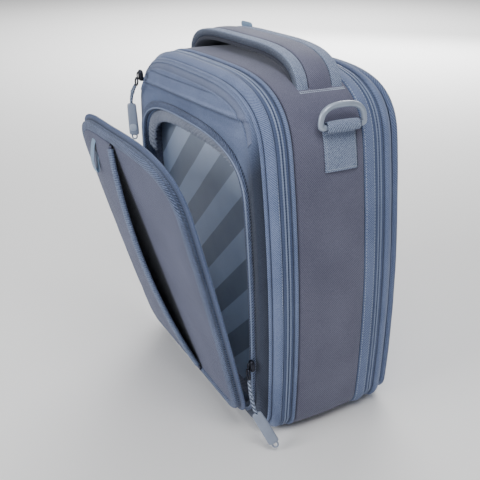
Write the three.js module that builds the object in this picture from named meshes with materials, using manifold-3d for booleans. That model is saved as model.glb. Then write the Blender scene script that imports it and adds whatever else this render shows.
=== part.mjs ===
// Soft-sided upright flight bag, in millimetres, +Z up. The front of the bag faces -Y.
// The origin is on the floor, under the middle of the padded gusset that rings the bag.
import * as THREE from 'three';
import { mergeVertices } from 'three/addons/utils/BufferGeometryUtils.js';
import Module from 'manifold-3d';

const wasm = await Module();
wasm.setup();

// ---------- driving dimensions ----------
const GAP = 0.3;                    // clearance between pieces that touch

// Outline of the bag, seen from the front
const BAG_HEIGHT = 380;
const SHOULDER_HALF_WIDTH = 153;    // half width where the shoulders start
const SHOULDER_DROP = 82;           // height of the rounded shoulders
const SHOULDER_POWER = 3.7;         // squareness of the shoulders
const SIDE_BOW = 19.5;              // how far each side bows out
const BOW_CENTRE_Z = 171;
const BOW_REACH = 209;              // from the widest height to where the bow ends
const BASE_CORNER = 23;             // radius of the lower corners

// Layers, from front to back
const GUSSET_FRONT_Y = -20;
const GUSSET_REAR_Y = 57.5;
const GUSSET_WALL = 9;
const FRONT_BINDING_WIDTH = 4.4;
const REAR_BINDING_WIDTH = 13.2;
const BINDING_WALL = 8;
const BINDING_INSET = 0.8;
const ZIP_HALF_WIDTH = 5.6;         // one tape with its row of teeth
const ZIP_WALL = 4;
const ZIP_INSET = 2.5;
const BAND_INSET = 4;
const BAND_WALL = 9;
const LID_BAND_WIDTH = 9;
const BACK_BAND_WIDTH = 12.4;
const PIPING_WIDTH = 3.2;
const PIPING_INSET = 8.5;
const PIPING_WALL = 7;
const FRAME_THICKNESS = 9;          // padded front face round the pocket opening
const FRAME_INSET = 11;
const DIVIDER_THICKNESS = 7;
const BOARD_THICKNESS = 3;
const BACK_WALL_THICKNESS = 7;

// Front pocket: arched opening, its door and its zip
const OPENING_HALF_WIDTH = 124;
const OPENING_TOP_Z = 317;
const OPENING_BOTTOM_Z = 27;
const OPENING_DROP = 56;
const OPENING_POWER = 3;
const RIM_WIDTH = 8;
const RIM_THICKNESS = 3.2;
const POCKET_WALL_THICKNESS = 5;
const POCKET_WALL_SETBACK = 8;      // from the front edge of the lid band to the padded wall
const LINING_THICKNESS = 1.3;
const SIDE_LINING_WALL = 1.6;
const DOOR_ANGLE = 12;              // degrees open at rest
const DOOR_EDGE_OUTSET = 7.5;       // door edge beyond the opening
const DOOR_CORE = 6.4;
const DOOR_ZIP_THICKNESS = 3.2;
const DOOR_BINDING_WIDTH = 11;
const SLASH_DEPTH = 12;
const SLASH_WALL = 2.4;
const SLASH_MARGIN = 8;
const SLASH_EDGE_WIDTH = 6;         // elastic edging along the slip pocket's slanted edge
const SLASH_EDGE_SETBACK = 6;       // of each end of the edging
const SLASH_TOP = [-14, 6];         // slanted edge: x at its upper end, and its drop from the arch's top
const SLASH_FOOT = [40, 24];        // x at its lower end, and its height above the hinge
const GATHERED_DEPTH = 13;          // elastic band hanging inside the top of the opening
const INNER_TRIM_SETBACK = 2;       // of the band and the hook strip behind the frame's front face
const GATHERED_THICKNESS = 3;
const HOOK_WIDTH = 9;
const HOOK_LENGTH = 70;
const HOOK_FOOT_Z = 165;
const HOOK_THICKNESS = 2;
const HINGE_STRIP_WIDTH = 5;
const DOOR_LINING_THICKNESS = 1.6;
const DOOR_LOOP_X = -69;
const DOOR_LOOP_WIDTH = 14;
const DOOR_LOOP_LENGTH = 34;
const DOOR_LOOP_THICKNESS = 4.3;
const DOOR_LOOP_DROP = 8;           // from the arch's top
const SIDE_TAB_HEIGHT = 16;
const SIDE_TAB_WIDTH = 7;
const SIDE_TAB_Z = 96;              // above the door's hinge

// Quick pocket zip, along the top of the front face
const QUICK_INSET = 17;
const QUICK_WIDTH = 9;
const QUICK_END_Z = 312;

// Handle and side tabs
const HANDLE_CENTRE_Y = 28;
const HANDLE_WIDTH = 50;
const HANDLE_WEBBING = 12;
const HANDLE_HALF_SPAN = 132;
const HANDLE_RISE = 21;             // from the bag's crown to the top of the handle
const HANDLE_FOOT_DROP = 50;        // from the bag's crown to the foot of the curve that the handle follows
const HANDLE_SPAN_POWER = 0.5;      // powers of the superellipse that the handle follows
const HANDLE_SHOULDER_POWER = 0.42;
const HANDLE_SHELL = 7.6;
const HANDLE_LINING = 4.2;
const HANDLE_TAG_X = -70;
const HANDLE_TAG_LENGTH = 28;
const HANDLE_TAG_HEIGHT = 7;
const HANDLE_TAG_THICKNESS = 2.4;
const HANDLE_TAG_SETBACK = 0.6;     // in from the handle's rear edge
const TAB_CENTRE_Y = 30;
const TAB_WIDTH = 38;
const TAB_LENGTH = 38;
const TAB_THICKNESS = 3;
const TAB_TOP_Z = 331;
const RING_WIRE = 6;
const RING_HALF_WIDTH = 27;
const RING_RISE = 23;
const RING_LOOP_RADIUS = 6.4;

// Zip sliders and their pulls
const SLIDER_LENGTH = 13;
const SLIDER_WIDTH = 9;
const SLIDER_HEIGHT = 6;
const PULL_RING_LENGTH = 13;
const PULL_RING_WIDTH = 9;
const PULL_RING_WIRE = 2.2;
const CORD_DIAMETER = 4.4;
const PULL_TAB_LENGTH = 40;
const PULL_TAB_WIDTH = 12;
const PULL_TAB_THICKNESS = 4.2;
const PULL_PIVOT_Y = -SLIDER_HEIGHT - GAP - PULL_RING_WIRE / 2;
const PULL_PIVOT_Z = -SLIDER_LENGTH / 2 + 3;
const POCKET_SLIDER_Z = 96;
const QUICK_SLIDER_X = -118;
const MAIN_SLIDER_Z = 98;
const SIDE_SLIDER_CLEARANCE = 0.9;  // keeps the slider clear of the zip all along its travel

// Trolley sleeve on the back
const SLEEVE_HALF_WIDTH = 146;
const SLEEVE_LOW_Z = 243;
const SLEEVE_HEIGHT = 82;
const SLEEVE_CLEAR = 5.6;
const SLEEVE_CLOTH = 2.4;
const SLEEVE_SEAM = 8;              // width of the sewn strip at each side

// ---------- colours ----------
const TWILL_DARK = { color: 0x5b6075, roughness: 0.85, metalness: 0 };
const TWILL_LIGHT = { color: 0x7587a8, roughness: 0.8, metalness: 0 };
const WEBBING = { color: 0x8794ac, roughness: 0.85, metalness: 0 };
const LINING = { color: 0x8a93a3, roughness: 0.6, metalness: 0 };
const ELASTIC = { color: 0x7d7980, roughness: 0.9, metalness: 0 };
const ZIP_TAPE = { color: 0x5c6c8c, roughness: 0.7, metalness: 0 };
const PAINTED_METAL = { color: 0x7b8c98, roughness: 0.4, metalness: 0.3 };
const GUNMETAL = { color: 0x1c1e24, roughness: 0.35, metalness: 0.8 };
const RUBBER = { color: 0x73829a, roughness: 0.6, metalness: 0 };
const CORD = { color: 0x8c9ab2, roughness: 0.85, metalness: 0 };
const BOARD = { color: 0x2c2f36, roughness: 0.7, metalness: 0 };
const DARK_CLOTH = { color: 0x3a3f4e, roughness: 0.85, metalness: 0 };

// ---------- outlines ----------
const SHOULDER_STEPS = 9;
const SIDE_STEPS = 4;
const CORNER_STEPS = 3;

// Width factor of the bowed sides at height z
function bow(z) {
  const u = THREE.MathUtils.clamp((z - BOW_CENTRE_Z) / BOW_REACH, -1, 1);
  return 1 + (SIDE_BOW / SHOULDER_HALF_WIDTH) * (1 - u * u);
}

// A closed outline: superellipse shoulders, bowed sides, round lower corners, flat base
function archOutline({ halfWidth, top, bottom, drop, power, corner }) {
  const right = [];
  for (let i = 0; i < CORNER_STEPS; i += 1) {
    const angle = (i / CORNER_STEPS) * (Math.PI / 2);
    right.push([halfWidth - corner + corner * Math.sin(angle), bottom + corner - corner * Math.cos(angle)]);
  }
  const sideTop = top - drop;
  const sideFoot = bottom + corner;
  for (let i = 0; i < SIDE_STEPS; i += 1) {
    right.push([halfWidth, THREE.MathUtils.lerp(sideFoot, sideTop, i / SIDE_STEPS)]);
  }
  for (let i = 0; i <= SHOULDER_STEPS; i += 1) {
    const angle = (i / SHOULDER_STEPS) * (Math.PI / 2);
    const x = halfWidth * Math.max(Math.cos(angle), 0) ** (2 / power);
    const z = sideTop + drop * Math.sin(angle) ** (2 / power);
    right.push([x, z]);
  }
  const bowed = right.map(([x, z]) => new THREE.Vector2(x * bow(z), z));
  bowed[bowed.length - 1].x = 0;
  const left = bowed.slice(0, -1).reverse().map((p) => new THREE.Vector2(-p.x, p.y));
  return [...bowed, ...left];
}

// The bag's own outline, drawn in by an inset
function bagOutline(inset) {
  return archOutline({
    halfWidth: SHOULDER_HALF_WIDTH - inset,
    top: BAG_HEIGHT - inset,
    bottom: inset,
    drop: SHOULDER_DROP - inset,
    power: SHOULDER_POWER,
    corner: BASE_CORNER - inset * (BASE_CORNER / (BASE_CORNER + SHOULDER_DROP)),
  });
}

// The pocket opening's outline, grown by an outset
function openingOutline(outset) {
  return archOutline({
    halfWidth: OPENING_HALF_WIDTH + outset,
    top: OPENING_TOP_Z + outset,
    bottom: OPENING_BOTTOM_Z - outset,
    drop: OPENING_DROP + outset,
    power: OPENING_POWER,
    corner: BASE_CORNER + outset,
  });
}

// Half width of an outline at height z, and height of its top at x, by linear interpolation
function halfWidthAt(outline, z) {
  let best = 0;
  outline.forEach((p, i) => {
    const q = outline[(i + 1) % outline.length];
    if (p.x >= 0 && q.x >= 0 && p.y !== q.y && (p.y - z) * (q.y - z) <= 0) {
      best = Math.max(best, p.x + ((q.x - p.x) * (z - p.y)) / (q.y - p.y));
    }
  });
  return best;
}

function topAt(outline, x) {
  let best = 0;
  outline.forEach((p, i) => {
    const q = outline[(i + 1) % outline.length];
    if (p.x !== q.x && (p.x - x) * (q.x - x) <= 0) {
      best = Math.max(best, p.y + ((q.y - p.y) * (x - p.x)) / (q.x - p.x));
    }
  });
  return best;
}

// ---------- solids ----------
const bag = new THREE.Group();

function addMesh(parent, name, geometry, finish) {
  const mesh = new THREE.Mesh(geometry, new THREE.MeshStandardMaterial(finish));
  mesh.name = name;
  parent.add(mesh);
  return mesh;
}

// An XZ outline, with an optional hole, made solid from y = front to y = rear
function slab(outline, hole, front, rear) {
  const shape = new THREE.Shape(outline);
  if (hole) {
    shape.holes.push(new THREE.Path(hole));
  }
  const geometry = new THREE.ExtrudeGeometry(shape, { depth: rear - front, bevelEnabled: false });
  geometry.rotateX(Math.PI / 2);
  geometry.translate(0, rear, 0);
  return geometry;
}

// A band that runs right round the bag
function bagRing(inset, wall, front, rear) {
  return slab(bagOutline(inset), bagOutline(inset + wall), front, rear);
}

// Boolean cut of one closed geometry by another
function toManifold(geometry) {
  const plain = geometry.clone();
  plain.deleteAttribute('normal');
  plain.deleteAttribute('uv');
  const merged = mergeVertices(plain, 1e-3);
  return new wasm.Manifold(new wasm.Mesh({
    numProp: 3,
    vertProperties: new Float32Array(merged.attributes.position.array),
    triVerts: new Uint32Array(merged.index.array),
  }));
}

function fromManifold(solid) {
  const mesh = solid.getMesh();
  const geometry = new THREE.BufferGeometry();
  geometry.setAttribute('position', new THREE.BufferAttribute(mesh.vertProperties, 3));
  geometry.setIndex(new THREE.BufferAttribute(mesh.triVerts, 1));
  geometry.computeVertexNormals();
  return geometry;
}

function cut(geometry, tool) {
  return fromManifold(toManifold(geometry).subtract(toManifold(tool)));
}

function keep(geometry, region) {
  return fromManifold(toManifold(geometry).intersect(toManifold(region)));
}

function block(x0, x1, y0, y1, z0, z1) {
  const geometry = new THREE.BoxGeometry(x1 - x0, y1 - y0, z1 - z0);
  geometry.translate((x0 + x1) / 2, (y0 + y1) / 2, (z0 + z1) / 2);
  return geometry;
}

// ---------- layer positions, derived ----------
const frontZipRear = GUSSET_FRONT_Y - FRONT_BINDING_WIDTH - 2 * GAP;
const frontZipMid = frontZipRear - ZIP_HALF_WIDTH;
const lidZipFront = frontZipMid - GAP - ZIP_HALF_WIDTH;
const lidBandRear = lidZipFront - GAP;
const lidBandFront = lidBandRear - LID_BAND_WIDTH;
const pipingFront = lidBandFront - GAP - PIPING_WIDTH;
const frameRear = pipingFront - GAP;
const frameFront = frameRear - FRAME_THICKNESS;
const rimFront = frameFront - GAP - RIM_THICKNESS;
const pocketWallFront = lidBandFront + POCKET_WALL_SETBACK;
const rearZipFront = GUSSET_REAR_Y + REAR_BINDING_WIDTH + 2 * GAP;
const rearZipMid = rearZipFront + ZIP_HALF_WIDTH;
const backZipRear = rearZipMid + GAP + ZIP_HALF_WIDTH;
const backBandRear = backZipRear + GAP + BACK_BAND_WIDTH;
const backWallRear = backBandRear + GAP + BACK_WALL_THICKNESS;

// ---------- carcass ----------
function buildCarcass() {
  addMesh(bag, 'main_gusset', bagRing(0, GUSSET_WALL, GUSSET_FRONT_Y, GUSSET_REAR_Y), TWILL_DARK);

  const boardHalf = SHOULDER_HALF_WIDTH - BASE_CORNER - GUSSET_WALL;
  const boardZ = GUSSET_WALL + GAP;
  const board = block(-boardHalf, boardHalf, GUSSET_FRONT_Y + GAP,
    GUSSET_REAR_Y - DIVIDER_THICKNESS - 2 * GAP, boardZ, boardZ + BOARD_THICKNESS);
  addMesh(bag, 'base_board', board, BOARD);

  const dividerRear = GUSSET_REAR_Y - GAP;
  const divider = slab(bagOutline(GUSSET_WALL + GAP), null, dividerRear - DIVIDER_THICKNESS, dividerRear);
  addMesh(bag, 'divider_panel', divider, TWILL_DARK);

  const frontBinding = bagRing(BINDING_INSET, BINDING_WALL,
    GUSSET_FRONT_Y - GAP - FRONT_BINDING_WIDTH, GUSSET_FRONT_Y - GAP);
  addMesh(bag, 'front_binding', frontBinding, TWILL_LIGHT);
  addMesh(bag, 'front_zip_body_half', bagRing(ZIP_INSET, ZIP_WALL, frontZipMid, frontZipRear), ZIP_TAPE);

  const rearBinding = bagRing(BINDING_INSET, BINDING_WALL,
    GUSSET_REAR_Y + GAP, GUSSET_REAR_Y + GAP + REAR_BINDING_WIDTH);
  addMesh(bag, 'rear_binding', rearBinding, TWILL_LIGHT);
  addMesh(bag, 'rear_zip_body_half', bagRing(ZIP_INSET, ZIP_WALL, rearZipFront, rearZipMid), ZIP_TAPE);
}

// ---------- handle ----------
const gussetOutline = bagOutline(0);
const handleTopZ = BAG_HEIGHT + HANDLE_RISE;
const handleFootZ = BAG_HEIGHT - HANDLE_FOOT_DROP;

// The strap's curve is a superellipse over the top; depth is measured in from its outer face
function handleBand(outerDepth, innerDepth) {
  const steps = 16;
  const curve = (depth) => {
    const points = [];
    const span = HANDLE_HALF_SPAN - depth;
    const rise = handleTopZ - handleFootZ - depth;
    for (let i = 0; i <= steps; i += 1) {
      const angle = (i / steps) * Math.PI;
      const cosine = Math.cos(angle);
      const x = span * Math.sign(cosine) * Math.abs(cosine) ** HANDLE_SPAN_POWER;
      points.push(new THREE.Vector2(x, handleFootZ + rise * Math.sin(angle) ** HANDLE_SHOULDER_POWER));
    }
    return points;
  };
  return [...curve(outerDepth), ...curve(innerDepth).reverse()];
}

function handlePiece(outerDepth, innerDepth, front, rear) {
  const band = slab(handleBand(outerDepth, innerDepth), null, front, rear);
  const ground = slab(bagOutline(-GAP), null, front - 1, rear + 1);
  return cut(band, ground);
}

function buildHandle() {
  const front = HANDLE_CENTRE_Y - HANDLE_WIDTH / 2;
  const rear = HANDLE_CENTRE_Y + HANDLE_WIDTH / 2;
  const padFront = front + HANDLE_WEBBING + GAP;
  const padRear = rear - HANDLE_WEBBING - GAP;
  addMesh(bag, 'handle_webbing_front', handlePiece(0, HANDLE_SHELL, front, padFront - GAP), WEBBING);
  addMesh(bag, 'handle_pad', handlePiece(0, HANDLE_SHELL, padFront, padRear), TWILL_DARK);
  addMesh(bag, 'handle_webbing_rear', handlePiece(0, HANDLE_SHELL, padRear + GAP, rear), WEBBING);
  const liningOuter = HANDLE_SHELL + GAP;
  addMesh(bag, 'handle_lining', handlePiece(liningOuter, liningOuter + HANDLE_LINING, front, rear),
    DARK_CLOTH);

  // The tag stands on the handle's top, at the height of the curve under the tag's inner end
  const tagInnerX = Math.abs(HANDLE_TAG_X) - HANDLE_TAG_LENGTH / 2;
  const tagCosine = (tagInnerX / HANDLE_HALF_SPAN) ** (1 / HANDLE_SPAN_POWER);
  const tagSine = Math.sqrt(1 - tagCosine ** 2);
  const tagFoot = handleFootZ + (handleTopZ - handleFootZ) * tagSine ** HANDLE_SHOULDER_POWER + GAP;
  const tagRear = rear - HANDLE_TAG_SETBACK;
  const tag = block(HANDLE_TAG_X - HANDLE_TAG_LENGTH / 2, HANDLE_TAG_X + HANDLE_TAG_LENGTH / 2,
    tagRear - HANDLE_TAG_THICKNESS, tagRear, tagFoot, tagFoot + HANDLE_TAG_HEIGHT);
  addMesh(bag, 'handle_tag', tag, WEBBING);
}

// ---------- side tabs and D-rings ----------
function circlePoints(radius, steps, cx, cy) {
  const points = [];
  for (let i = 0; i < steps; i += 1) {
    const angle = (i / steps) * 2 * Math.PI;
    points.push(new THREE.Vector2(cx + radius * Math.cos(angle), cy + radius * Math.sin(angle)));
  }
  return points;
}

const tabFootX = halfWidthAt(gussetOutline, TAB_TOP_Z - TAB_LENGTH);
const tabHeadX = halfWidthAt(gussetOutline, TAB_TOP_Z);
const tabLean = Math.atan2(tabFootX - tabHeadX, TAB_LENGTH);
const tabStandoff = 1.2;            // keeps the flat tab clear of the round side
const ringPivotX = tabHeadX + tabStandoff + RING_LOOP_RADIUS;
const ringPivotZ = TAB_TOP_Z + RING_LOOP_RADIUS;

function buildSide(sign, side) {
  // Webbing folded over the ring's bar: a flat patch with a tube at its top
  const patch = new THREE.Shape([
    new THREE.Vector2(0, -TAB_LENGTH),
    new THREE.Vector2(TAB_THICKNESS, -TAB_LENGTH),
    new THREE.Vector2(TAB_THICKNESS, RING_LOOP_RADIUS),
    new THREE.Vector2(0, RING_LOOP_RADIUS),
  ]);
  const options = { depth: TAB_WIDTH, bevelEnabled: false };
  const flat = new THREE.ExtrudeGeometry(patch, options);
  flat.rotateX(Math.PI / 2);
  flat.rotateY(-tabLean);
  flat.translate(tabHeadX + tabStandoff, TAB_CENTRE_Y + TAB_WIDTH / 2, TAB_TOP_Z);
  const roll = new THREE.ExtrudeGeometry(
    new THREE.Shape(circlePoints(RING_LOOP_RADIUS, 16, ringPivotX, ringPivotZ)), options);
  roll.rotateX(Math.PI / 2);
  roll.translate(0, TAB_CENTRE_Y + TAB_WIDTH / 2, 0);
  const bore = new THREE.ExtrudeGeometry(
    new THREE.Shape(circlePoints(RING_LOOP_RADIUS - 2.2, 16, ringPivotX, ringPivotZ)),
    { depth: TAB_WIDTH + 4, bevelEnabled: false });
  bore.rotateX(Math.PI / 2);
  bore.translate(0, TAB_CENTRE_Y + TAB_WIDTH / 2 + 2, 0);
  const tab = fromManifold(toManifold(flat).add(toManifold(roll)).subtract(toManifold(bore)));
  if (sign < 0) {
    tab.rotateZ(Math.PI);
    tab.translate(0, 2 * TAB_CENTRE_Y, 0);
  }
  addMesh(bag, `d_tab_${side}`, tab, WEBBING);

  // D-ring: straight bar below, elliptical arch above
  const loop = (inset) => {
    const points = [];
    const steps = 12;
    for (let i = 0; i <= steps; i += 1) {
      const angle = (i / steps) * Math.PI;
      points.push(new THREE.Vector2((RING_HALF_WIDTH - inset) * Math.cos(angle),
        (RING_RISE - inset) * Math.sin(angle)));
    }
    return points;
  };
  const outer = [...loop(0), new THREE.Vector2(-RING_HALF_WIDTH, -RING_WIRE / 2),
    new THREE.Vector2(RING_HALF_WIDTH, -RING_WIRE / 2)];
  const inner = loop(RING_WIRE).map((p) => new THREE.Vector2(p.x, Math.max(p.y, RING_WIRE / 2)));
  const shape = new THREE.Shape(outer);
  shape.holes.push(new THREE.Path(inner));
  const bevel = 1.2;
  const ring = new THREE.ExtrudeGeometry(shape, {
    depth: RING_WIRE - 2 * bevel,
    bevelEnabled: true,
    bevelThickness: bevel,
    bevelSize: bevel,
    bevelOffset: -bevel,
    bevelSegments: 1,
  });
  ring.translate(0, 0, -(RING_WIRE - 2 * bevel) / 2);
  ring.rotateX(Math.PI / 2);
  ring.rotateZ(Math.PI / 2);
  ring.translate(sign * ringPivotX, TAB_CENTRE_Y, ringPivotZ);
  addMesh(bag, `d_ring_${side}`, ring, PAINTED_METAL);
}

// ---------- front lid with its pocket ----------
function buildLid() {
  addMesh(bag, 'front_zip_lid_half', bagRing(ZIP_INSET, ZIP_WALL, lidZipFront, frontZipMid - GAP), ZIP_TAPE);
  addMesh(bag, 'lid_side_band', bagRing(BAND_INSET, BAND_WALL, lidBandFront, lidBandRear), TWILL_LIGHT);
  addMesh(bag, 'lid_piping', bagRing(PIPING_INSET, PIPING_WALL, pipingFront, pipingFront + PIPING_WIDTH),
    WEBBING);

  const wallInset = BAND_INSET + BAND_WALL + GAP;
  const pocketWall = slab(bagOutline(wallInset), null, pocketWallFront,
    pocketWallFront + POCKET_WALL_THICKNESS);
  addMesh(bag, 'pocket_back_wall', pocketWall, TWILL_DARK);
  const liningRear = pocketWallFront - GAP;
  const lining = slab(bagOutline(wallInset), null, liningRear - LINING_THICKNESS, liningRear);
  addMesh(bag, 'pocket_lining', lining, LINING);

  const frame = slab(bagOutline(FRAME_INSET), openingOutline(0), frameFront, frameRear);
  addMesh(bag, 'pocket_front_frame', frame, TWILL_LIGHT);
  const sideLining = slab(openingOutline(SIDE_LINING_WALL), openingOutline(0),
    frameRear + GAP, liningRear - LINING_THICKNESS - GAP);
  addMesh(bag, 'pocket_side_lining', sideLining, ELASTIC);

  const rim = slab(openingOutline(RIM_WIDTH), openingOutline(0), rimFront, frameFront - GAP);
  addMesh(bag, 'rim_zip_half', rim, ZIP_TAPE);

  // Gathered elastic band that hangs inside the top of the opening
  const trimFront = frameFront + INNER_TRIM_SETBACK;
  const bandRegion = block(-BAG_HEIGHT, BAG_HEIGHT, frameFront, frameRear,
    OPENING_TOP_Z - OPENING_DROP, BAG_HEIGHT);
  const gathered = keep(slab(openingOutline(-GAP), openingOutline(-GATHERED_DEPTH),
    trimFront, trimFront + GATHERED_THICKNESS), bandRegion);
  addMesh(bag, 'gathered_band', gathered, ELASTIC);

  // Hook-and-loop strip on the far side of the opening
  const openingSide = openingOutline(-GAP);
  const hookX = GAP - Math.min(halfWidthAt(openingSide, HOOK_FOOT_Z),
    halfWidthAt(openingSide, HOOK_FOOT_Z + HOOK_LENGTH));
  const hook = block(hookX, hookX + HOOK_WIDTH, trimFront, trimFront + HOOK_THICKNESS,
    HOOK_FOOT_Z, HOOK_FOOT_Z + HOOK_LENGTH);
  addMesh(bag, 'hook_strip', hook, ELASTIC);

  // Zip of the narrow pocket over the door: it follows the top edge and turns down both sides
  const quickRegion = block(-BAG_HEIGHT, BAG_HEIGHT, rimFront, frameFront, QUICK_END_Z, BAG_HEIGHT);
  const quick = keep(slab(bagOutline(QUICK_INSET), bagOutline(QUICK_INSET + QUICK_WIDTH),
    rimFront, frameFront - GAP), quickRegion);
  addMesh(bag, 'quick_zip', quick, ZIP_TAPE);

  const hingeHalf = OPENING_HALF_WIDTH - BASE_CORNER;
  const hingeTop = OPENING_BOTTOM_Z - RIM_WIDTH - GAP;
  const hinge = block(-hingeHalf, hingeHalf, rimFront, frameFront - GAP,
    hingeTop - HINGE_STRIP_WIDTH, hingeTop);
  addMesh(bag, 'door_hinge_strip', hinge, TWILL_LIGHT);
}

// ---------- pocket door, built shut and then tipped open about its hinge ----------
const doorPivot = new THREE.Vector3(0, rimFront - 0.4, OPENING_BOTTOM_Z - RIM_WIDTH);
const doorZipRear = -0.4;
const doorZipFront = doorZipRear - DOOR_ZIP_THICKNESS;
const doorCoreRear = doorZipFront - GAP;
const doorCoreFront = doorCoreRear - DOOR_CORE;

function buildDoor() {
  const door = new THREE.Group();
  door.position.copy(doorPivot);
  door.rotation.x = THREE.MathUtils.degToRad(DOOR_ANGLE);
  bag.add(door);
  const local = (outset) => openingOutline(outset).map((p) => new THREE.Vector2(p.x, p.y - doorPivot.z));

  const doorEdge = local(DOOR_EDGE_OUTSET);

  addMesh(door, 'door_zip_half', slab(local(DOOR_EDGE_OUTSET - 1), local(0), doorZipFront, doorZipRear),
    ZIP_TAPE);
  addMesh(door, 'door_lining', slab(local(-GAP), null, doorZipFront, doorZipFront + DOOR_LINING_THICKNESS),
    LINING);
  const coreOutset = DOOR_EDGE_OUTSET - DOOR_BINDING_WIDTH;
  addMesh(door, 'door_panel', slab(local(coreOutset - GAP), null, doorCoreFront, doorCoreRear), TWILL_DARK);
  addMesh(door, 'door_binding', slab(doorEdge, local(coreOutset), doorCoreFront, doorCoreRear),
    TWILL_LIGHT);

  // Slash pocket: a shallow tray on the door's face, open along its slanted edge
  const archTop = OPENING_TOP_Z - doorPivot.z;
  const slantTop = new THREE.Vector2(SLASH_TOP[0], archTop - SLASH_TOP[1]);
  const slantFoot = new THREE.Vector2(...SLASH_FOOT);
  const along = slantFoot.clone().sub(slantTop).normalize();
  const across = new THREE.Vector2(-along.y, along.x);
  const far = BAG_HEIGHT;
  const halfPlane = (shift) => {
    const a = slantTop.clone().addScaledVector(along, -far).addScaledVector(across, shift);
    const b = slantFoot.clone().addScaledVector(along, far).addScaledVector(across, shift);
    const outward = across.clone().multiplyScalar(-far);
    return [a, b, b.clone().add(outward), a.clone().add(outward)];
  };
  const pocketRear = doorCoreFront - GAP;
  const pocketFront = pocketRear - SLASH_DEPTH;
  const face = keep(slab(local(coreOutset - 2), null, pocketFront, pocketRear),
    slab(halfPlane(0).reverse(), null, pocketFront - 1, pocketRear + 1));
  const hollow = keep(
    slab(local(coreOutset - 2 - SLASH_MARGIN), null, pocketFront + SLASH_WALL, pocketRear + 1),
    slab(halfPlane(1).reverse(), null, pocketFront + SLASH_WALL, pocketRear + 1));
  addMesh(door, 'slash_pocket', cut(face, hollow), TWILL_DARK);

  // Elastic edging on the slanted edge, held off by its own thickness
  const edgePoint = (end, setback, offset) => end.clone()
    .addScaledVector(along, setback)
    .addScaledVector(across, offset);
  const edging = [
    edgePoint(slantTop, SLASH_EDGE_SETBACK, GAP),
    edgePoint(slantFoot, -SLASH_EDGE_SETBACK, GAP),
    edgePoint(slantFoot, -SLASH_EDGE_SETBACK, GAP + SLASH_EDGE_WIDTH),
    edgePoint(slantTop, SLASH_EDGE_SETBACK, GAP + SLASH_EDGE_WIDTH),
  ];
  addMesh(door, 'slash_binding', slab(edging, null, pocketFront, pocketFront + SLASH_WALL), ELASTIC);

  // Folded pull loop at the top of the pocket, and a small tab on the far edge
  const loopTop = archTop - DOOR_LOOP_DROP;
  const loopRear = pocketFront - GAP;
  const loop = block(DOOR_LOOP_X - DOOR_LOOP_WIDTH / 2, DOOR_LOOP_X + DOOR_LOOP_WIDTH / 2,
    loopRear - DOOR_LOOP_THICKNESS, loopRear, loopTop - DOOR_LOOP_LENGTH, loopTop);
  addMesh(door, 'door_loop', loop, WEBBING);
  const tabTop = SIDE_TAB_Z + SIDE_TAB_HEIGHT;
  const tabX = -Math.max(halfWidthAt(doorEdge, SIDE_TAB_Z), halfWidthAt(doorEdge, tabTop)) - GAP;
  const sideTab = block(tabX - SIDE_TAB_WIDTH, tabX, doorCoreFront + 1, doorCoreRear - 1, SIDE_TAB_Z, tabTop);
  addMesh(door, 'door_side_tab', sideTab, WEBBING);
}

// ---------- back panel ----------
function buildBack() {
  addMesh(bag, 'rear_zip_panel_half', bagRing(ZIP_INSET, ZIP_WALL, rearZipMid + GAP, backZipRear), ZIP_TAPE);
  addMesh(bag, 'back_side_band', bagRing(BAND_INSET, BAND_WALL, backZipRear + GAP, backBandRear),
    TWILL_LIGHT);
  const wall = slab(bagOutline(PIPING_INSET), null, backBandRear + GAP, backWallRear);
  addMesh(bag, 'back_wall', wall, TWILL_LIGHT);

  // Sleeve for a trolley handle: open above and below
  const sleeveFront = backWallRear + GAP;
  const sleeveRear = sleeveFront + SLEEVE_CLEAR + SLEEVE_CLOTH;
  const top = SLEEVE_LOW_Z + SLEEVE_HEIGHT;
  const sleeve = cut(
    block(-SLEEVE_HALF_WIDTH, SLEEVE_HALF_WIDTH, sleeveFront, sleeveRear, SLEEVE_LOW_Z, top),
    block(-SLEEVE_HALF_WIDTH + SLEEVE_SEAM, SLEEVE_HALF_WIDTH - SLEEVE_SEAM,
      sleeveFront - 1, sleeveRear - SLEEVE_CLOTH, SLEEVE_LOW_Z - 1, top + 1));
  addMesh(bag, 'trolley_sleeve', sleeve, TWILL_LIGHT);
}

// ---------- zip sliders and pulls ----------
function roundedBar(length, width, radius) {
  const shape = new THREE.Shape();
  const x = width / 2;
  const z = length / 2;
  shape.moveTo(-x + radius, -z);
  shape.lineTo(x - radius, -z);
  shape.absarc(x - radius, -z + radius, radius, -Math.PI / 2, 0, false);
  shape.lineTo(x, z - radius);
  shape.absarc(x - radius, z - radius, radius, 0, Math.PI / 2, false);
  shape.lineTo(-x + radius, z);
  shape.absarc(-x + radius, z - radius, radius, Math.PI / 2, Math.PI, false);
  shape.lineTo(-x, -z + radius);
  shape.absarc(-x + radius, -z + radius, radius, Math.PI, 1.5 * Math.PI, false);
  return shape;
}

function flatPiece(shape, thickness, curveSegments) {
  const bevel = Math.min(0.8, thickness / 4);
  const geometry = new THREE.ExtrudeGeometry(shape, {
    depth: thickness - 2 * bevel,
    bevelEnabled: true,
    bevelThickness: bevel,
    bevelSize: bevel,
    bevelOffset: -bevel,
    bevelSegments: 1,
    curveSegments,
  });
  geometry.translate(0, 0, -(thickness - 2 * bevel) / 2);
  geometry.rotateX(Math.PI / 2);
  return geometry;
}

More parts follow.
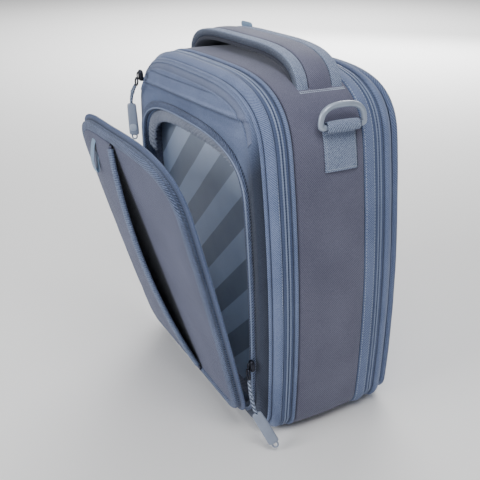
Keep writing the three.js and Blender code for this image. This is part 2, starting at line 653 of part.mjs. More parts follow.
// The slider lies on the zip and faces local -Y. The pull ring hangs from it at a tilt to the side,
// the cord follows its points from the ring's foot, and the rubber tab goes on along its own heading.
function buildPull(name, place, turn, ringTilt, cordOffsets, heading) {
  const station = new THREE.Group();
  station.position.copy(place);
  station.rotation.z = turn;
  bag.add(station);
  const sliderBody = flatPiece(roundedBar(SLIDER_LENGTH, SLIDER_WIDTH, 3), SLIDER_HEIGHT, 4);
  sliderBody.translate(0, -SLIDER_HEIGHT / 2, 0);
  addMesh(station, `${name}_slider`, sliderBody, GUNMETAL);

  const ringShape = roundedBar(PULL_RING_LENGTH, PULL_RING_WIDTH, 4);
  const holeWidth = PULL_RING_WIDTH - 2 * PULL_RING_WIRE;
  const holeLength = PULL_RING_LENGTH - 2 * PULL_RING_WIRE;
  ringShape.holes.push(new THREE.Path(roundedBar(holeLength, holeWidth, 2).getPoints(3)));
  const ring = flatPiece(ringShape, PULL_RING_WIRE, 3);
  ring.translate(0, 0, -PULL_RING_LENGTH / 2);
  ring.rotateY(-ringTilt);
  ring.translate(0, PULL_PIVOT_Y, PULL_PIVOT_Z);
  addMesh(station, `${name}_pull_ring`, ring, GUNMETAL);

  const reach = PULL_RING_LENGTH + GAP;
  const start = new THREE.Vector3(Math.sin(ringTilt) * reach, PULL_PIVOT_Y,
    PULL_PIVOT_Z - Math.cos(ringTilt) * reach);
  const points = [start, ...cordOffsets.map((offset) => offset.clone().add(start))];
  const section = new THREE.Shape(circlePoints(CORD_DIAMETER / 2, 8, 0, 0));
  const cord = new THREE.ExtrudeGeometry(section, {
    steps: 8,
    extrudePath: new THREE.CatmullRomCurve3(points),
    bevelEnabled: false,
  });
  addMesh(station, `${name}_pull_cord`, cord, CORD);

  const end = points[points.length - 1];
  const tab = flatPiece(roundedBar(PULL_TAB_LENGTH, PULL_TAB_WIDTH, 4), PULL_TAB_THICKNESS, 3);
  tab.translate(0, 0, -PULL_TAB_LENGTH / 2 - CORD_DIAMETER / 2);
  const down = new THREE.Vector3(0, 0, -1);
  tab.applyQuaternion(new THREE.Quaternion().setFromUnitVectors(down, heading.clone().normalize()));
  tab.translate(end.x, end.y, end.z);
  addMesh(station, `${name}_pull_tab`, tab, RUBBER);
}

const vec = (x, y, z) => new THREE.Vector3(x, y, z);

function buildPulls() {
  // Pocket zip: the slider is at the foot of the near side and its tab reaches the floor
  const pocketX = halfWidthAt(openingOutline(DOOR_EDGE_OUTSET), POCKET_SLIDER_Z) + SLIDER_WIDTH / 2 + 2 * GAP;
  buildPull('pocket', vec(pocketX, rimFront - GAP, POCKET_SLIDER_Z), 0, 0.12,
    [vec(1.5, 0.2, -11), vec(3.5, 0.8, -23), vec(7, 2, -35)], vec(17, 14, -37));

  // Quick zip: the slider is at the far end and its pull hangs outside the door's far shoulder
  const quickZ = topAt(bagOutline(QUICK_INSET + QUICK_WIDTH / 2), QUICK_SLIDER_X);
  buildPull('quick', vec(QUICK_SLIDER_X, rimFront - GAP, quickZ), 0, -Math.PI / 4,
    [vec(-9, 0, -6), vec(-18, 0, -14), vec(-24.5, 0.2, -24)], vec(0, 0, -1));

  // Main zips: closed, with both sliders low on the far side
  const sideX = -halfWidthAt(bagOutline(ZIP_INSET), MAIN_SLIDER_Z) - SIDE_SLIDER_CLEARANCE;
  const plumb = [vec(0, -0.6, -10), vec(0, -0.8, -20), vec(0, -0.6, -30)];
  [['front_zip', frontZipMid - GAP / 2], ['rear_zip', rearZipMid + GAP / 2]].forEach(([name, y]) => {
    buildPull(name, vec(sideX, y, MAIN_SLIDER_Z), -Math.PI / 2, 0, plumb, vec(0, 0, -1));
  });
}

buildCarcass();
buildHandle();
buildSide(1, 'right');
buildSide(-1, 'left');
buildLid();
buildDoor();
buildBack();
buildPulls();

export default bag;
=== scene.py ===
# %% [markdown]
# # A soft-sided flight bag
# The CAD model is loaded first and never moved. Every soft piece is then rebuilt as a curved
# surface in the same place, and each one is told which rigid body it rides on.

import math

import bmesh
import bpy
import numpy as np
from mathutils import Matrix, Vector


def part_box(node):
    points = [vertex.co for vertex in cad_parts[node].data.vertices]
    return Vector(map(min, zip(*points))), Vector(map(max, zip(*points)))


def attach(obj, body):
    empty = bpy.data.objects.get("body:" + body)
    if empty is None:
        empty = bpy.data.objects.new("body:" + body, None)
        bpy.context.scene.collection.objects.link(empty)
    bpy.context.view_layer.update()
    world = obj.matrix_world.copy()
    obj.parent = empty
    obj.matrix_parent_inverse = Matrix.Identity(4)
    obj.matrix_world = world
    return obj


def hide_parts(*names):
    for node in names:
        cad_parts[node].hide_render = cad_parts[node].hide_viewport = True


MM = 0.001
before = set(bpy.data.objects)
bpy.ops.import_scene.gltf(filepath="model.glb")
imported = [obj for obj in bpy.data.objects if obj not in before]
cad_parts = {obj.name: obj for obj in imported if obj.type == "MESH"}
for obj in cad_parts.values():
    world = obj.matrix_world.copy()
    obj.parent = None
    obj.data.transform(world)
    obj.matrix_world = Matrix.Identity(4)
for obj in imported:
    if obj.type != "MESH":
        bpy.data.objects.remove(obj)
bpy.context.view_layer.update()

# %% [markdown]
# The camera stands in front of the bag's right-hand side and looks a little down on it.
# Its axes are worked out from an azimuth, an elevation and a small roll.

# %% Camera
VIEW_AZIMUTH = math.radians(58.0)
VIEW_ELEVATION = math.radians(25.0)
VIEW_ROLL = math.radians(0.56)
CAMERA_AT = Vector((0.722, -0.337, 0.507))
LENS = 54.3
VIEW_SHIFT = (-0.173, 0.046)


def make_camera():
    """Back points from the subject to the camera, right is level, up is their cross product."""
    level = math.cos(VIEW_ELEVATION)
    back = Vector((math.sin(VIEW_AZIMUTH) * level, -math.cos(VIEW_AZIMUTH) * level,
                   math.sin(VIEW_ELEVATION)))
    right = Vector((math.cos(VIEW_AZIMUTH), math.sin(VIEW_AZIMUTH), 0))
    up = back.cross(right)
    rolled_right = right * math.cos(VIEW_ROLL) + up * math.sin(VIEW_ROLL)
    rolled_up = up * math.cos(VIEW_ROLL) - right * math.sin(VIEW_ROLL)
    data = bpy.data.cameras.new("camera")
    data.lens = LENS
    data.shift_x, data.shift_y = VIEW_SHIFT
    camera = bpy.data.objects.new("camera", data)
    bpy.context.scene.collection.objects.link(camera)
    turn = Matrix((rolled_right, rolled_up, back)).transposed().to_4x4()
    camera.matrix_world = Matrix.Translation(CAMERA_AT) @ turn
    bpy.context.scene.camera = camera


make_camera()

# %% [markdown]
# Light is soft: a dim even surround, a weak wide lamp overhead, a stronger one in front, a small
# key lamp at the near side, and two wide lamps that mostly brighten the floor behind the bag.

# %% Light
SURROUND = 0.33
# Name, place, target, width in metres, power in watts.
LAMPS = [
    ("overhead", (-0.1, 0.15, 1.3), (0, 0, 0.2), 1.0, 2.5),
    ("front_fill", (0.1, -1.4, 0.8), (0, 0, 0.25), 0.8, 14),
    ("side_key", (0.55, -0.1, 0.9), (0.1, 0, 0.32), 0.4, 3.6),
    ("backdrop", (-1.8, 1.6, 0.9), (-1.1, 0.9, 0), 1.4, 40),
    ("far_backdrop", (-2.8, 1.6, 1.6), (-2.8, 1.6, 0), 2.2, 110),
]


def make_light():
    """An even surround, then one square lamp for each row of LAMPS, aimed from its place at its target."""
    world = bpy.data.worlds.new("studio")
    world.use_nodes = True
    world.node_tree.nodes["Background"].inputs["Color"].default_value = (1, 1, 1, 1)
    world.node_tree.nodes["Background"].inputs["Strength"].default_value = SURROUND
    bpy.context.scene.world = world
    for name, place, target, size, power in LAMPS:
        data = bpy.data.lights.new(name, "AREA")
        data.size = size
        data.energy = power
        lamp = bpy.data.objects.new(name, data)
        bpy.context.scene.collection.objects.link(lamp)
        lamp.location = place
        lamp.rotation_euler = (Vector(place) - Vector(target)).to_track_quat("Z", "Y").to_euler()


make_light()

# %% [markdown]
# A few short formulas are used all through the script.

# %% Small formulas
def unit(vectors):
    """Each vector divided by its own length."""
    return vectors / np.linalg.norm(vectors, axis=-1, keepdims=True)


def full_turn(count):
    """Evenly spaced angles, once round."""
    return np.linspace(0, 2 * np.pi, count, endpoint=False)


def signed_power(value, power):
    """sign(v) times |v| to a power, which draws a superellipse from a cosine and a sine."""
    return np.sign(value) * np.abs(value) ** power


def smooth_step(x, low, high):
    """3t^2 - 2t^3 of x between two limits."""
    t = np.clip((x - low) / (high - low), 0, 1)
    return t * t * (3 - 2 * t)


def bell(x, middle, width):
    """exp of minus the square of the distance over the width."""
    return np.exp(-((x - middle) / width) ** 2)


def raised(plan, y):
    """(x, z) points given a y, as (x, y, z) points."""
    return np.stack(np.broadcast_arrays(plan[..., 0], y, plan[..., 1]), axis=-1)


def box_mm(node):
    """Low and high corner of a CAD node, in millimetres."""
    return [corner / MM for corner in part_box(node)]


# %% [markdown]
# Every surface here is a grid of points: one direction runs along the piece and the other across it.
# The helper joins neighbours with quads, turns them all round if the enclosed volume comes out
# negative, and stores a cloth map in metres, so a weave follows the surface at its real size.
# The fans at a tube's ends are wound against its sides, a fault left open.

# %% Grid meshes
def place_object(name, vertices, faces, uv, painted_shade=None):
    """Vertices and uv in millimetres, stored in metres, faces as rows of indices, painted shade per vertex.
    """
    mesh = bpy.data.meshes.new(name)
    mesh.from_pydata((vertices * MM).tolist(), [], faces)
    layer = mesh.uv_layers.new(name="cloth")
    corners = np.empty(len(mesh.loops), dtype=np.int32)
    mesh.loops.foreach_get("vertex_index", corners)
    layer.data.foreach_set("uv", (uv[corners] * MM).astype(np.float32).ravel())
    tone = mesh.attributes.new("painted_shade", "FLOAT", "POINT")
    values = np.ones(len(vertices)) if painted_shade is None else np.asarray(painted_shade, dtype=float).ravel()
    tone.data.foreach_set("value", values.astype(np.float32))
    mesh.polygons.foreach_set("use_smooth", [True] * len(mesh.polygons))
    mesh.update()
    piece = bpy.data.objects.new(name, mesh)
    bpy.context.scene.collection.objects.link(piece)
    return piece


def grid_faces(rows, columns, wrap_rows, wrap_columns):
    """Quads of a grid, four indices each. A wrapped direction joins its last line to its first."""
    i = np.arange(rows if wrap_rows else rows - 1)
    j = np.arange(columns if wrap_columns else columns - 1)
    a, b = np.meshgrid(i, j, indexing="ij")
    following_a = (a + 1) % rows
    following_b = (b + 1) % columns
    corners = [a * columns + b, following_a * columns + b,
               following_a * columns + following_b, a * columns + following_b]
    return np.stack(corners, axis=-1).reshape(-1, 4)


def signed_volume(points, faces):
    """Sum over quads of the volume of the pyramid from the origin, by two triangles each."""
    p = points[faces]
    first = np.einsum("ij,ij->i", p[:, 0], np.cross(p[:, 1], p[:, 2]))
    second = np.einsum("ij,ij->i", p[:, 0], np.cross(p[:, 2], p[:, 3]))
    return (first + second).sum() / 6


def lengths_along(points, axis):
    """Running length along one direction of a grid of points, starting from zero."""
    steps = np.linalg.norm(np.diff(points, axis=axis), axis=-1)
    pad = [(0, 0), (0, 0)]
    pad[axis] = (1, 0)
    return np.pad(np.cumsum(steps, axis=axis), pad)


def grid_piece(name, points, wrap_rows=False, wrap_columns=False, painted_shade=None, capped=False, uv=None):
    """A grid of points made a mesh. Capped closes the two ends of a tube with a fan about their centres."""
    rows, columns = points.shape[:2]
    if uv is None:
        middle_row = np.repeat(lengths_along(points, 0)[:, :1], columns, axis=1)
        uv = np.stack([middle_row, lengths_along(points, 1)], axis=-1)
    vertices = points.reshape(-1, 3)
    faces = grid_faces(rows, columns, wrap_rows, wrap_columns)
    uv = uv.reshape(-1, 2)
    painted_shade = None if painted_shade is None else np.broadcast_to(painted_shade, (rows, columns)).reshape(-1)
    if capped:
        start = len(vertices)
        vertices = np.vstack([vertices, points[0].mean(0), points[-1].mean(0)])
        uv = np.vstack([uv, uv[0], uv[-1]])
        if painted_shade is not None:
            painted_shade = np.append(painted_shade, [painted_shade[0], painted_shade[-1]])
        j = np.arange(columns)
        following = (j + 1) % columns
        last = (rows - 1) * columns
        low = np.stack([following, j, np.full(columns, start), np.full(columns, start)], axis=-1)
        high = np.stack([last + j, last + following,
                         np.full(columns, start + 1), np.full(columns, start + 1)], axis=-1)
        caps = np.vstack([low, high])
        if signed_volume(vertices, np.vstack([faces, caps])) < 0:
            faces, caps = faces[:, ::-1], caps[:, [1, 0, 2, 3]]
        return place_object(name, vertices, faces.tolist() + caps[:, :3].tolist(), uv, painted_shade)
    if signed_volume(vertices, faces) < 0:
        faces = faces[:, ::-1]
    return place_object(name, vertices, faces.tolist(), uv, painted_shade)


def capped_piece(name, points, painted_shade=None, uv=None):
    """A tube of points, closed at both ends."""
    return grid_piece(name, points, False, True, painted_shade, capped=True, uv=uv)


def merge_poles(piece, distance=1e-6):
    """Joins points that lie on each other, such as those at the middle of a round panel."""
    work = bmesh.new()
    work.from_mesh(piece.data)
    bmesh.ops.remove_doubles(work, verts=work.verts, dist=distance)
    bmesh.ops.dissolve_degenerate(work, edges=work.edges, dist=distance)
    work.to_mesh(piece.data)
    work.free()
    return piece


# %% [markdown]
# Real cloth is never perfectly even. A smooth noise, worked out on a lattice of random numbers,
# gives each panel small hills and hollows that are the same on every run.

# %% Unevenness
LATTICE = 64
KEEP_POSITIVE = 1000.0


def value_noise(points, size, seed):
    """Random values on a cubic lattice, blended by 3t^2 - 2t^3 between its corners, from -1 to 1."""
    lattice = np.random.default_rng(seed).uniform(-1, 1, (LATTICE,) * 3)
    scaled = points / size + KEEP_POSITIVE
    cell = np.floor(scaled).astype(int)
    t = smooth_step(scaled - cell, 0, 1)
    total = 0
    for corner in np.ndindex(2, 2, 2):
        weight = np.prod(np.where(np.array(corner) == 1, t, 1 - t), axis=-1)
        index = (cell + np.array(corner)) % LATTICE
        total = total + weight * lattice[index[..., 0], index[..., 1], index[..., 2]]
    return total


def unevenness(points, amount, size, seed):
    """Value noise in millimetres, with 0.45 of a finer one added."""
    return amount * (value_noise(points, size, seed) + 0.45 * value_noise(points, size * 0.42, seed + 1))


# %% [markdown]
# The outline seen from the front is an arch: a flat base, round lower corners, bowed sides and
# superellipse shoulders. The same function gives the bag's outline and the pocket opening's.

# %% Outlines
SIDE_BOW = 19.5
SHOULDER_HALF_WIDTH = 153
BOW_CENTRE_Z = 171
BOW_REACH = 209
BAG_HEIGHT = 380
SHOULDER_DROP = 82
SHOULDER_POWER = 3.7
BASE_CORNER = 23
OPENING_HALF_WIDTH = 124
OPENING_TOP = 317
OPENING_BOTTOM = 27
OPENING_DROP = 56
OPENING_POWER = 3
NEAR_STRETCH = 5.5
RINGS = 480


def bow(z):
    """Width factor of the bowed sides: one plus a parabola about the widest height."""
    u = np.clip((z - BOW_CENTRE_Z) / BOW_REACH, -1, 1)
    return 1 + (SIDE_BOW / SHOULDER_HALF_WIDTH) * (1 - u * u)


def even_steps(line, count, closed=False):
    """The same line with its points at equal distances."""
    if closed:
        line = np.vstack([line, line[:1]])
    run = np.concatenate([[0], np.cumsum(np.linalg.norm(np.diff(line, axis=0), axis=1))])
    at = np.linspace(0, run[-1], count + 1)[:-1] if closed else np.linspace(0, run[-1], count)
    return np.stack([np.interp(at, run, line[:, k]) for k in range(line.shape[1])], axis=1)


def arch(half_width, top, bottom, drop, power, corner, count=RINGS):
    """Closed outline from the middle of the base, up the right side, over the top and down the left."""
    angle = np.linspace(0, np.pi / 2, 14)
    corner_x = half_width - corner + corner * np.sin(angle)
    corner_z = bottom + corner - corner * np.cos(angle)
    side_z = np.linspace(bottom + corner, top - drop, 40)[1:]
    shoulder = np.linspace(0, np.pi / 2, 90)[1:]
    shoulder_x = half_width * np.clip(np.cos(shoulder), 0, 1) ** (2 / power)
    shoulder_z = top - drop + drop * np.sin(shoulder) ** (2 / power)
    x = np.concatenate([[0], corner_x, np.full(len(side_z), half_width), shoulder_x])
    z = np.concatenate([[bottom], corner_z, side_z, shoulder_z])
    x = x * bow(z)
    x[-1] = 0
    right = np.stack([x, z], axis=1)
    left = right[-2:0:-1] * [-1, 1]
    return even_steps(np.vstack([right, left]), count, closed=True)


def bag_outline(inset, count=RINGS):
    """The bag's outline, drawn in by an inset."""
    corner = BASE_CORNER - inset * BASE_CORNER / (BASE_CORNER + SHOULDER_DROP)
    return arch(SHOULDER_HALF_WIDTH - inset, BAG_HEIGHT - inset, inset,
                SHOULDER_DROP - inset, SHOULDER_POWER, corner, count)


def opening_outline(outset, count=RINGS):
    """The pocket opening's outline, grown by an outset."""
    return arch(OPENING_HALF_WIDTH + outset, OPENING_TOP + outset, OPENING_BOTTOM - outset,
                OPENING_DROP + outset, OPENING_POWER, BASE_CORNER + outset, count)


def mouth_outline(outset, count=RINGS):
    """The opening as it sits on the lid: its near side has stretched outwards in use."""
    line = opening_outline(outset, count)
    t = np.clip((line[:, 0] - 10) / 120, 0, 1)
    line[:, 0] += NEAR_STRETCH * t * t * (3 - 2 * t)
    return line


def perimeter(line):
    """Length of a closed outline."""
    return np.linalg.norm(np.diff(np.vstack([line, line[:1]]), axis=0), axis=1).sum()


def chords(line):
    """For each point of a closed line, the step from the point before it to the one after it."""
    return np.roll(line, -1, axis=0) - np.roll(line, 1, axis=0)


def outward(line):
    """Unit normals of a closed outline, pointing away from its inside."""
    tangent = unit(chords(line))
    return np.stack([tangent[:, 1], -tangent[:, 0]], axis=1)


def span(node):
    """Front and rear of a CAD node, in millimetres."""
    low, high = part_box(node)
    return low.y / MM, high.y / MM


print("gusset runs from y =", span("main_gusset"))

# %% [markdown]
# Bands that ring the bag are one small cross-section carried round the outline. A cross-section is a
# closed loop of (inset, y) points, and its outer face can bulge and round off at its edges.

# %% Bands round the bag
BAG_MIDDLE_Z = 190.0
LOWEST_Z = 0.1


def cushion_section(outer, inner, front, rear, crown, radius, steps=8, lean=0.0):
    """Outer face bulged by a parabola, both edges rounded by a quarter circle, inner face flat.

    Lean draws the face in by a parabola towards the front.
    """
    half = (rear - front) / 2
    radius = min(radius, half)
    turn = half - radius * (1 - np.sin(np.linspace(0, 1, 5) * np.pi / 2))
    flat = np.linspace(-(half - radius), half - radius, steps)[1:-1]
    offset = np.concatenate([-turn[::-1], flat, turn])
    into = np.clip((np.abs(offset) - (half - radius)) / radius, 0, 1)
    drop = radius * (1 - np.sqrt(1 - into * into))
    face = outer + drop - crown * (1 - (offset / half) ** 2) + lean * ((half - offset) / (2 * half)) ** 2
    y = np.concatenate([(front + rear) / 2 + offset, [rear, (front + rear) / 2, front]])
    return np.stack([np.concatenate([face, np.full(3, float(inner))]), y], axis=1)


def painted_seam_shade(section, tone=0.55):
    """Painted shade: darkens the two edges of a cushion section, where it runs into its seams, and its
    inner face.
    """
    painted_shade = np.ones(len(section))
    painted_shade[:2] = tone
    painted_shade[-5:] = tone
    return painted_shade


def band_points(section, outline=bag_outline, count=RINGS):
    """For each point of the section, the outline at its inset, set at its y."""
    return np.stack([raised(outline(inset, count), y) for inset, y in section], axis=1)


def push_out(points, amount):
    """Moves grid points away from the bag's middle line by an amount, in the plane of the outline."""
    away = points - np.array([0, 0, BAG_MIDDLE_Z])
    away[..., 1] = 0
    away /= np.maximum(np.linalg.norm(away, axis=-1, keepdims=True), 1e-6)
    return points + away * amount[..., None]


def ring_band(name, section, uneven=0.0, size=60, seed=1, painted_shade=None, outline=bag_outline):
    """One section carried right round, with a little unevenness on its outside."""
    points = band_points(section, outline)
    if uneven:
        points = push_out(points, unevenness(points, uneven, size, seed))
    points[..., 2] = np.maximum(points[..., 2], LOWEST_Z)
    return grid_piece(name, points, True, True, painted_shade)


# %% [markdown]
# Cloth is coloured in its weave. Each fabric mixes a dark and a light thread by a weave pattern laid
# along the cloth map, a fine fleck and a slow change of tone, and the same pattern drives the bump.
# The painted shade attribute darkens a fabric where it runs into a seam, in creases and recesses, or where
# it lies inside a pocket; on the gathered band it also lightens the crests, as painted light.

# %% Fabric shader
MIX_SLOTS = (0, 6, 7)
MIX_RESULT = 2
SHEEN_TINT = (0.8, 0.86, 1.0, 1)
TONE_SIZE = 45


def link_math(tree, operation, a, b=None, clamp=False):
    """A Math node on sockets or numbers."""
    node = tree.nodes.new("ShaderNodeMath")
    node.operation = operation
    node.use_clamp = clamp
    for slot, value in zip(node.inputs, (a, b)):
        if isinstance(value, (int, float)):
            slot.default_value = value
        elif value is not None:
            tree.links.new(value, slot)
    return node.outputs[0]


def cloth_wave(tree, along_u, along_v):
    """sin of 2 pi (u / along_u + v / along_v) of the cloth map, in millimetres; a zero leaves v out."""
    map_node = tree.nodes.new("ShaderNodeUVMap")
    map_node.uv_map = "cloth"
    parts = tree.nodes.new("ShaderNodeSeparateXYZ")
    tree.links.new(map_node.outputs["UV"], parts.inputs[0])
    phase = link_math(tree, "MULTIPLY", parts.outputs[0], 2 * math.pi / (along_u * MM))
    if along_v:
        other = link_math(tree, "MULTIPLY", parts.outputs[1], 2 * math.pi / (along_v * MM))
        phase = link_math(tree, "ADD", phase, other)
    return link_math(tree, "SINE", phase)


def noise(tree, size, detail):
    """Noise on Object coordinates, whose lumps are about that many millimetres across."""
    node = tree.nodes.new("ShaderNodeTexNoise")
    node.inputs["Scale"].default_value = 1 / (size * MM)
    node.inputs["Detail"].default_value = detail
    place = tree.nodes.new("ShaderNodeTexCoord")
    tree.links.new(place.outputs["Object"], node.inputs["Vector"])
    return node.outputs["Fac"]


def colour_mix(tree, factor, first, second, blend="MIX"):
    """A colour Mix node, whose factor and colours are sockets or values."""
    node = tree.nodes.new("ShaderNodeMix")
    node.data_type = "RGBA"
    node.blend_type = blend
    for slot, value in zip(MIX_SLOTS, (factor, first, second)):
        if isinstance(value, bpy.types.NodeSocket):
            tree.links.new(value, node.inputs[slot])
        else:
            node.inputs[slot].default_value = value
    return node.outputs[MIX_RESULT]


def relief(tree, shader, height, strength, distance):
    """A Bump node from a height socket to the shader's normal, its distance in millimetres."""
    node = tree.nodes.new("ShaderNodeBump")
    node.inputs["Strength"].default_value = strength
    node.inputs["Distance"].default_value = distance * MM
    tree.links.new(height, node.inputs["Height"])
    tree.links.new(node.outputs["Normal"], shader.inputs["Normal"])


def new_material(name, roughness):
    """A material with its node tree and its shader."""
    material = bpy.data.materials.new(name)
    material.use_nodes = True
    shader = material.node_tree.nodes["Principled BSDF"]
    shader.inputs["Roughness"].default_value = roughness
    return material, material.node_tree, shader


def fabric(name, dark, light, weave=(2.0, 2.0), weave_gain=0.3, fleck=0.5, fleck_size=1.2,
           tone=0.35, bump=0.25, roughness=0.85, sheen=0.25):
    """Dark and light threads mixed by weave, fleck and tone, then multiplied by the painted shade
    attribute.
    """
    material, tree, shader = new_material(name, roughness)
    shader.inputs["Sheen Weight"].default_value = sheen
    shader.inputs["Sheen Roughness"].default_value = 0.5
    shader.inputs["Sheen Tint"].default_value = SHEEN_TINT
    shader.inputs["Specular IOR Level"].default_value = 0.3
    pattern = cloth_wave(tree, *weave)
    fine = noise(tree, fleck_size, 3.0)
    slow = noise(tree, TONE_SIZE, 2.0)
    factor = link_math(tree, "MULTIPLY_ADD", pattern, weave_gain)
    factor.node.inputs[2].default_value = 0.5
    fine_part = link_math(tree, "MULTIPLY", link_math(tree, "SUBTRACT", fine, 0.5), 2 * fleck)
    slow_part = link_math(tree, "MULTIPLY", link_math(tree, "SUBTRACT", slow, 0.5), 2 * tone)
    factor = link_math(tree, "ADD", factor, fine_part)
    factor = link_math(tree, "ADD", factor, slow_part, clamp=True)
    # Painted shade and light: the shade attribute darkens seams, creases, recesses and pocket insides.
    painted_shade = tree.nodes.new("ShaderNodeAttribute")
    painted_shade.attribute_name = "painted_shade"
    grey = tree.nodes.new("ShaderNodeCombineColor")
    for channel in grey.inputs:
        tree.links.new(painted_shade.outputs["Fac"], channel)
    colour = colour_mix(tree, factor, (*dark, 1), (*light, 1))
    colour = colour_mix(tree, 1, colour, grey.outputs[0], "MULTIPLY")
    tree.links.new(colour, shader.inputs["Base Color"])
    height = link_math(tree, "ADD", link_math(tree, "MULTIPLY", pattern, 0.5), fine)
    relief(tree, shader, height, bump, 0.6)
    return material


# %% [markdown]
# The bag is one colour family, slate blue, in several cloths: a greyer twill on the gusset and the
# door, a lighter blue twill on the bands, a flecked webbing, an elastic, a striped lining and tapes.

# %% The cloths
def rgb(r, g, b):
    """A display colour, 0 to 255, made linear."""
    c = np.array([r, g, b]) / 255
    return tuple(float(x) for x in np.where(c <= 0.04045, c / 12.92, ((c + 0.055) / 1.055) ** 2.4))


GREY_TWILL = fabric("grey_twill", rgb(69, 70, 90), rgb(114, 115, 136),
                    (2.6, 1.9), 0.4, 0.5, 1.1, 0.3, 0.4)
# The door's copy of the grey twill is bluer, which is the door's own colour, and painted darker, as painted
# shade on the door's brightly lit front.
SHADED_DOOR_TWILL = fabric("shaded_door_twill", rgb(56, 59, 80), rgb(94, 98, 124), (2.2, 1.7), 0.3, 0.3, 1.1, 0.3, 0.3)
QUICK_TAPE = fabric("quick_zip_tape", rgb(76, 86, 114), rgb(116, 127, 156),
                    (1.6, 0), 0.3, 0.4, 1.2, 0.3, 0.4)
BLUE_TWILL = fabric("blue_twill", rgb(66, 81, 116), rgb(130, 145, 180),
                    (2.2, 2.2), 0.42, 0.6, 1.0, 0.3, 0.5)
WEBBING = fabric("webbing", rgb(58, 73, 106), rgb(168, 182, 210), (2.6, 1.8), 0.5, 0.9, 1.1, 0.15, 0.8)
BINDING = fabric("binding", rgb(92, 108, 136), rgb(158, 172, 198), (1.8, 1.8), 0.3, 0.6, 1.4, 0.25, 0.5)
ELASTIC = fabric("elastic", rgb(52, 63, 90), rgb(132, 146, 176), (2.4, 0), 0.2, 0.7, 1.5, 0.2, 0.6)
TAUPE = fabric("taupe_elastic", rgb(62, 66, 84), rgb(122, 126, 144),
               (1.6, 1.6), 0.15, 0.6, 1.5, 0.4, 0.4)
GATHERED = fabric("gathered_satin", rgb(116, 122, 142), rgb(186, 194, 212), (1.6, 1.6), 0.1, 0.5, 1.5,
                  0.3, 0.3, 0.42)
DOOR_EDGING = fabric("door_edging", rgb(30, 40, 66), rgb(106, 120, 152),
                     (3.2, 2.6), 0.5, 0.9, 1.6, 0.35, 0.7)
TAPE = fabric("zip_tape", rgb(50, 62, 94), rgb(98, 113, 147), (1.5, 0), 0.25, 0.3, 1.0, 0.2, 0.35, 0.7)
DARK_CLOTH = fabric("dark_cloth", rgb(38, 40, 50), rgb(58, 61, 74), (1.4, 1.4), 0.1, 0.4, 1.2, 0.2)
LOOP_TAPE = fabric("loop_tape", rgb(92, 118, 146), rgb(150, 178, 206), (1.2, 0), 0.25, 0.4, 1.2,
                   0.2, 0.4, 0.6)


def finish(piece, body, material, slot, *nodes):
    """Gives a piece its material and its body, and hides the CAD nodes that it stands for. The slot is not
    used.
    """
    piece.data.materials.clear()
    piece.data.materials.append(material)
    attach(piece, body)
    if nodes:
        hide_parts(*nodes)
    return piece


# %% [markdown]
# The carcass is a padded gusset between two bindings. Its twill is drawn tight, so it crowns a
# little between the seams and is otherwise almost flat.

# %% Gusset and bindings
def carcass_bands():
    """The gusset's cushion, then the two bindings that edge it."""
    front, rear = span("main_gusset")
    section = cushion_section(0.5, 9, front, rear, 1.0, 2.4, 12)
    gusset = ring_band("gusset_skin", section, 0.5, 55, 3, painted_seam_shade(section))
    finish(gusset, "carcass", GREY_TWILL, "dark_twill", "main_gusset")
    for node, crown in (("front_binding", 0.9), ("rear_binding", 1.3)):
        front, rear = span(node)
        section = cushion_section(0.9, 8.8, front, rear, crown, 1.8, 7)
        band = ring_band(node + "_skin", section, 0.25, 40, 5, painted_seam_shade(section, 0.7))
        finish(band, "carcass", BLUE_TWILL, "light_twill", node)


carcass_bands()

# %% [markdown]
# A zip is two tapes with a row of coil teeth on the edge of each. The coil is a thin tube whose
# radius swells once for each tooth, so every tooth is real geometry and catches its own light.

# %% Zips
TOOTH_PITCH = 2.7
TOOTH_RADIUS = 1.15
SAMPLES_PER_TOOTH = 6
COIL_SIDES = 7
COIL_INSET = 2.6
COIL_FROM_EDGE = 1.5
COLOUR_SPREAD = 0.12
BLOTCH_SIZE = 14


def plastic(name, colour, roughness, metallic=0.0, grain=0.8, strength=0.1):
    """A moulded or painted surface: fine noise roughens it and broad noise varies its colour."""
    material, tree, shader = new_material(name, roughness)
    shader.inputs["Metallic"].default_value = metallic
    darker = [c * (1 - COLOUR_SPREAD) for c in colour]
    lighter = [min(c * (1 + COLOUR_SPREAD), 1) for c in colour]
    mixed = colour_mix(tree, noise(tree, BLOTCH_SIZE, 2.0), (*darker, 1), (*lighter, 1))
    tree.links.new(mixed, shader.inputs["Base Color"])
    relief(tree, shader, noise(tree, grain, 3.0), strength, 0.2)
    return material


TEETH = plastic("coil_teeth", rgb(126, 140, 170), 0.4)


def coil_points(outline, inset, y):
    """A tube round an outline whose radius is r (0.62 + 0.38 |sin|), one swelling for each tooth."""
    count = int(round(perimeter(outline(inset)) / TOOTH_PITCH)) * SAMPLES_PER_TOOTH
    line = outline(inset, count)
    normal = outward(line)
    phase = np.arange(count) / SAMPLES_PER_TOOTH * np.pi
    r = TOOTH_RADIUS * (0.62 + 0.38 * np.abs(np.sin(phase)))[:, None]
    turn = full_turn(COIL_SIDES)[None, :]
    x = line[:, :1] + normal[:, :1] * r * np.cos(turn)
    z = line[:, 1:] + normal[:, 1:] * r * np.cos(turn)
    return np.stack([x, y + r * np.sin(turn), z], axis=-1)


